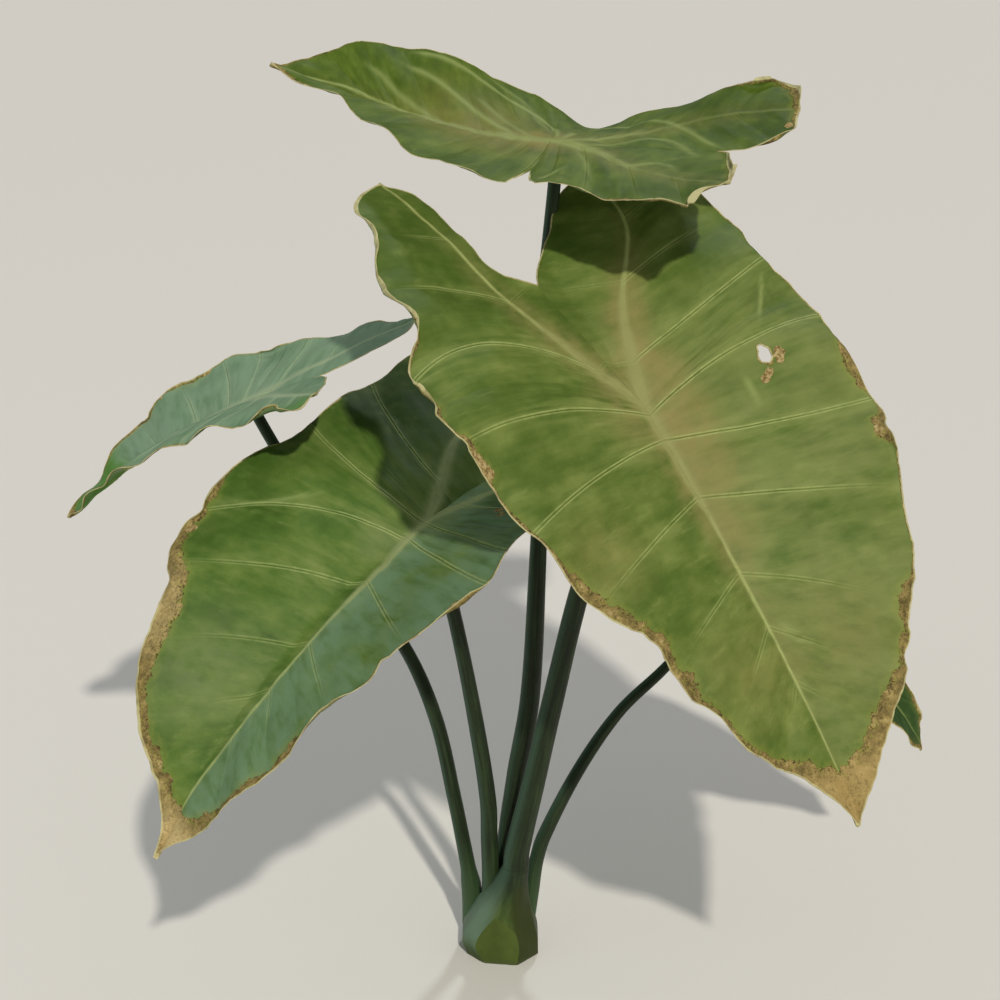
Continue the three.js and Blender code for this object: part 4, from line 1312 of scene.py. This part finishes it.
def draw_ribs(s, p, look, color):
    """Pale ribs, broad and soft round the junction and thin toward tip and lobes."""
    off = p.rib / (0.6 + p.distance.between(12.0, 1.0))
    on_lobe = p.u.between(0.0, -3.0) * p.distance.between(2.0, 9.0)
    kept = 1.0 + on_lobe * (look.lobe_ribs - 1.0)
    color = color.paint(look.rib, off.between(1.5, 0.5) * kept * (0.25 + p.strokes * 0.5))
    worn = 0.45 + s.noise(p.flat, 1.1).between(0.3, 0.6) * 0.45
    pale = s.blend(look.vein, look.rib, p.distance.between(15.0, 6.0))
    return color.paint(pale, off.between(0.85, 0.35) * worn * kept)


def underside(s, p):
    color = s.noise(p.flat, 0.35, 4.0).ramp([0.2, 0.5, 0.8], UNDER_GREENS)
    color = color.paint(UNDER_VEIN_COLOR, p.vein.between(1.3, 0.4) * p.strength * 0.8)
    return color.paint(UNDER_VEIN_COLOR, p.rib.between(1.0, 0.75))


def dry_border(s, p, look, color):
    """Dried border and spots with ragged speckled edges, and the cream line at the rim."""
    ragged = s.noise(p.flat, 1.1, 4.0, 0.65) - 0.5
    fine = s.noise(p.flat, 5.0) - 0.5
    inner = p.width - p.rim + ragged * p.width.between(1.0, 8.0) * 17.0 + fine * 3.0
    dried = inner.between(-0.4, 0.5)
    spotted = (p.spots + ragged * 1.5 + fine * 0.6).between(0.42, 0.55)
    fringe = inner.between(-6.0, 0.0) * p.width.between(1.6, 4.0) * 0.28
    color = color.paint(FRINGE_COLOR, fringe)
    color = color.paint(dry_colors(s, p, look.dry, inner), dried)
    brown = s.noise(p.flat, 3.2, 4.0, 0.65).ramp([0.38, 0.5, 0.62], SPOT_COLORS)
    color = color.paint(brown, spotted)
    edge = (p.cream - p.rim + fine * 0.9).between(-0.2, 0.3)
    broken = 0.45 + s.noise(p.flat, 0.9, 2.0).between(0.35, 0.6) * 0.45
    return color.paint(CREAM, edge * broken), s.math("MAXIMUM", dried, spotted)


def dry_colors(s, p, tip_color, inner):
    """Tan and brown clumps, dark specks toward the green, and a smoother pale tip."""
    parched = s.noise(p.flat, 1.3, 5.0, 0.6) * 0.75 + s.noise(p.flat, 7.0) * 0.25
    tan = parched.ramp([0.36, 0.46, 0.55, 0.65], DRY_COLORS)
    tan = tan.paint(tip_color, p.width.between(9.0, 24.0) * 0.8)
    green_left = s.noise(p.flat, 1.8, 4.0, 0.7).between(0.53, 0.58)
    tan = tan.paint(FRINGE_COLOR, green_left * inner.between(9.0, 1.0) * 0.6)
    specks = s.noise(p.flat, 4.4, 4.0, 0.8).between(0.50, 0.57)
    clumps = s.noise(p.flat, 0.9).between(0.4, 0.56)
    amount = 0.1 + inner.between(8.0, 0.5) * 0.5 + clumps * 0.35
    return tan.paint(SPECK_COLOR, specks * amount)


# Depth of the fine relief that the materials give, in metres
BLADE_RELIEF = 0.0005
STALK_RELIEF = 0.0004
FLOOR_RELIEF = 0.0002

# Greens of the petioles, paler at the foot, and a bluer painted light on their left side
STALK_PLACES = [0.38, 0.5, 0.62]
STALK_COLORS = ["#1a2414", "#232f1b", "#304023"]
STALK_PAINTED_LIGHT_COLOR = "#3f5b49"
STALK_FOOT_COLOR = "#48643f"
STALK_FLECK_COLOR = "#56694a"


def round_facts(s):
    """Sideways place on a round stalk, its length in cm, and the base's cut in mm."""
    _, turn, along, third = s.fact("stalk")
    angle = turn * (2 * math.pi)
    return s.math("COSINE", angle), s.math("SINE", angle), along, third


def petiole_material(name, seed):
    """Waxy green petiole with long faint streaks, a bluish painted light on its left side, and paler
    toward its foot.
    """
    s = Shader(f"stalk_{name}")
    x, y, along, _ = round_facts(s)
    streaks = s.noise(s.vector(x, y, along * 0.05 + seed * 3.1), 4.5)
    broad = s.noise(s.vector(x, y, along * 0.22 + seed * 1.7), 1.0)
    color = (streaks * 0.5 + broad * 0.5).ramp(STALK_PLACES, STALK_COLORS)
    # painted light: a bluish lit left side, as from a fill lamp on the left
    left = x.between(-0.2, -0.9) * y.between(0.7, -0.2)
    color = color.paint(STALK_PAINTED_LIGHT_COLOR, left * 0.7)
    foot = along.between(9.0, 0.0) * (0.0 if name == "front_right" else 0.6)
    color = color.paint(STALK_FOOT_COLOR, foot)
    flecks = s.noise(s.vector(x, y, along * 0.6), 9.0, 2.0).between(0.62, 0.7)
    color = color.paint(STALK_FLECK_COLOR, flecks * 0.15)
    height = streaks * 0.8 + flecks * 0.2
    return s.finish(color, 0.36 + broad * 0.2, height, STALK_RELIEF, specular=0.2)


# Greens round the foot: blue on the left, partly waxy and partly painted light, olive on the right,
# partly painted shade, yellow on the cut
FOOT_WAX_AND_LIGHT_BLUE = "#667e6a"
FOOT_OLIVE_AND_SHADE = "#2e3510"
FOOT_GREENS = ["#344619", "#415422", "#51632d"]
FOOT_RIM_COLOR = "#4a5230"
CUT_GREENS = ["#3f4e1c", "#4e5d25"]


def base_material():
    """Swollen base: blue-green to olive round its sides, partly painted light on the left and painted
    shade on the right, with a yellow-green cut in front.
    """
    s = Shader("swollen_base")
    x, y, high, cut = round_facts(s)
    streaks = s.noise(s.vector(x, y, high * 0.12), 5.0)
    patches = s.noise(s.vector(x, y, high * 0.3), 1.4, 4.0)
    both = streaks * 0.5 + patches * 0.5
    color = both.ramp(STALK_PLACES, FOOT_GREENS)
    color = color.paint(both.ramp(STALK_PLACES, STALK_COLORS), high.between(2.5, 7.5))
    side = x.between(-0.1, -0.75)
    # partly painted light: the left side bluer and paler, partly waxy bloom
    blue = side * high.between(0.2, 2.4) * high.between(8.0, 4.0) * 0.85
    color = color.paint(FOOT_WAX_AND_LIGHT_BLUE, blue)
    # painted light: the petioles' lit left colour over the upper left of the base
    upper = side * y.between(0.7, -0.2) * high.between(4.0, 8.0) * 0.7
    color = color.paint(STALK_PAINTED_LIGHT_COLOR, upper)
    # partly painted shade: darker olive on the right side
    color = color.paint(FOOT_OLIVE_AND_SHADE, x.between(0.05, 0.5) * high.between(8.0, 5.0) * 0.85)
    color = color.paint(patches.ramp([0.35, 0.65], CUT_GREENS), cut.between(-0.15, 0.15))
    color = color.paint(FOOT_RIM_COLOR, high.between(0.5, 0.0) * 0.5)
    height = streaks + patches * 0.5
    return s.finish(color, 0.45 + patches * 0.2, height, STALK_RELIEF, specular=0.2)


def put_object(name, data):
    made = bpy.data.objects.new(name, data)
    bpy.context.scene.collection.objects.link(made)
    return made


def facing(way):
    """Turn of a camera or lamp that looks along a way."""
    return (-Vector(way)).to_track_quat("Z", "Y").to_euler()


def add_camera():
    camera = put_object("camera", bpy.data.cameras.new("camera"))
    camera.data.sensor_width = SENSOR_WIDTH
    camera.data.lens = SENSOR_WIDTH / 2 / math.tan(math.radians(FIELD_OF_VIEW / 2))
    rise = math.radians(CAMERA_ELEVATION)
    back = Vector((0, -math.cos(rise), math.sin(rise)))
    camera.location = Vector((0, 0, AIM_HEIGHT)) + back * CAMERA_DISTANCE
    camera.rotation_euler = facing(-back)
    bpy.context.scene.camera = camera


# A key light from the front right and a weaker one from behind: the way each
# travels, its strength and its angle. Soft boxes: place, size, watts and colour
SUNS = {
    "key": [[-0.25, 1.0, -1.0], 2.15, 2.2, "#fffaf0"],
    "back_key": [[-0.25, -0.9, -1.1], 0.75, 5.0, "#f2f6ff"],
}
BOXES = {
    "left_fill": [[-1.9, -1.0, 1.3], 1.8, 7, "#d3e6f2"],
    "right_fill": [[1.8, -1.2, 1.0], 1.6, 3, "#fff0e0"],
}
WORLD_GREY = 0.27
FLOOR_COLOR = "#d9d6cf"
FLOOR_SIZE = 40
FLOOR_HEIGHT = -0.0004


def add_light(name, kind, way, color):
    light = put_object(name, bpy.data.lights.new(name, kind))
    light.data.color = srgb(color)[:3]
    light.rotation_euler = facing(way)
    return light


def add_studio():
    """Pale floor, pale surroundings and soft lights."""
    for name, (way, strength, angle, color) in SUNS.items():
        light = add_light(name, "SUN", way, color)
        light.data.energy = strength
        light.data.angle = math.radians(angle)
    for name, (place, size, watts, color) in BOXES.items():
        light = add_light(name, "AREA", Vector((0, 0, AIM_HEIGHT)) - Vector(place), color)
        light.location = place
        light.data.size = size
        light.data.energy = watts
    world = bpy.data.worlds.new("studio")
    world.use_nodes = True
    world.node_tree.nodes["Background"].inputs[0].default_value = (WORLD_GREY,) * 3 + (1,)
    bpy.context.scene.world = world
    bpy.ops.mesh.primitive_plane_add(size=FLOOR_SIZE, location=(0, 0, FLOOR_HEIGHT))
    floor = bpy.context.object
    floor.name = "floor"
    s = Shader("floor")
    place = s.node("ShaderNodeTexCoord", {}, "Object")
    floor.data.materials.append(s.finish(FLOOR_COLOR, 0.85, s.noise(place, 40.0), FLOOR_RELIEF))


def add_plant():
    for seed, name in enumerate(BLADES, start=1):
        blade = make_blade(name, seed * 100)
        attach(blade, "root")
        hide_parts(f"leaf_{name}")
        stalk = make_petiole(name, seed)
        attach(stalk, "root")
        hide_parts(f"petiole_{name}")
    base = make_base()
    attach(base, "root")
    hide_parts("base")


add_camera()
add_plant()
add_studio()
bpy.context.scene.view_settings.view_transform = "Standard"
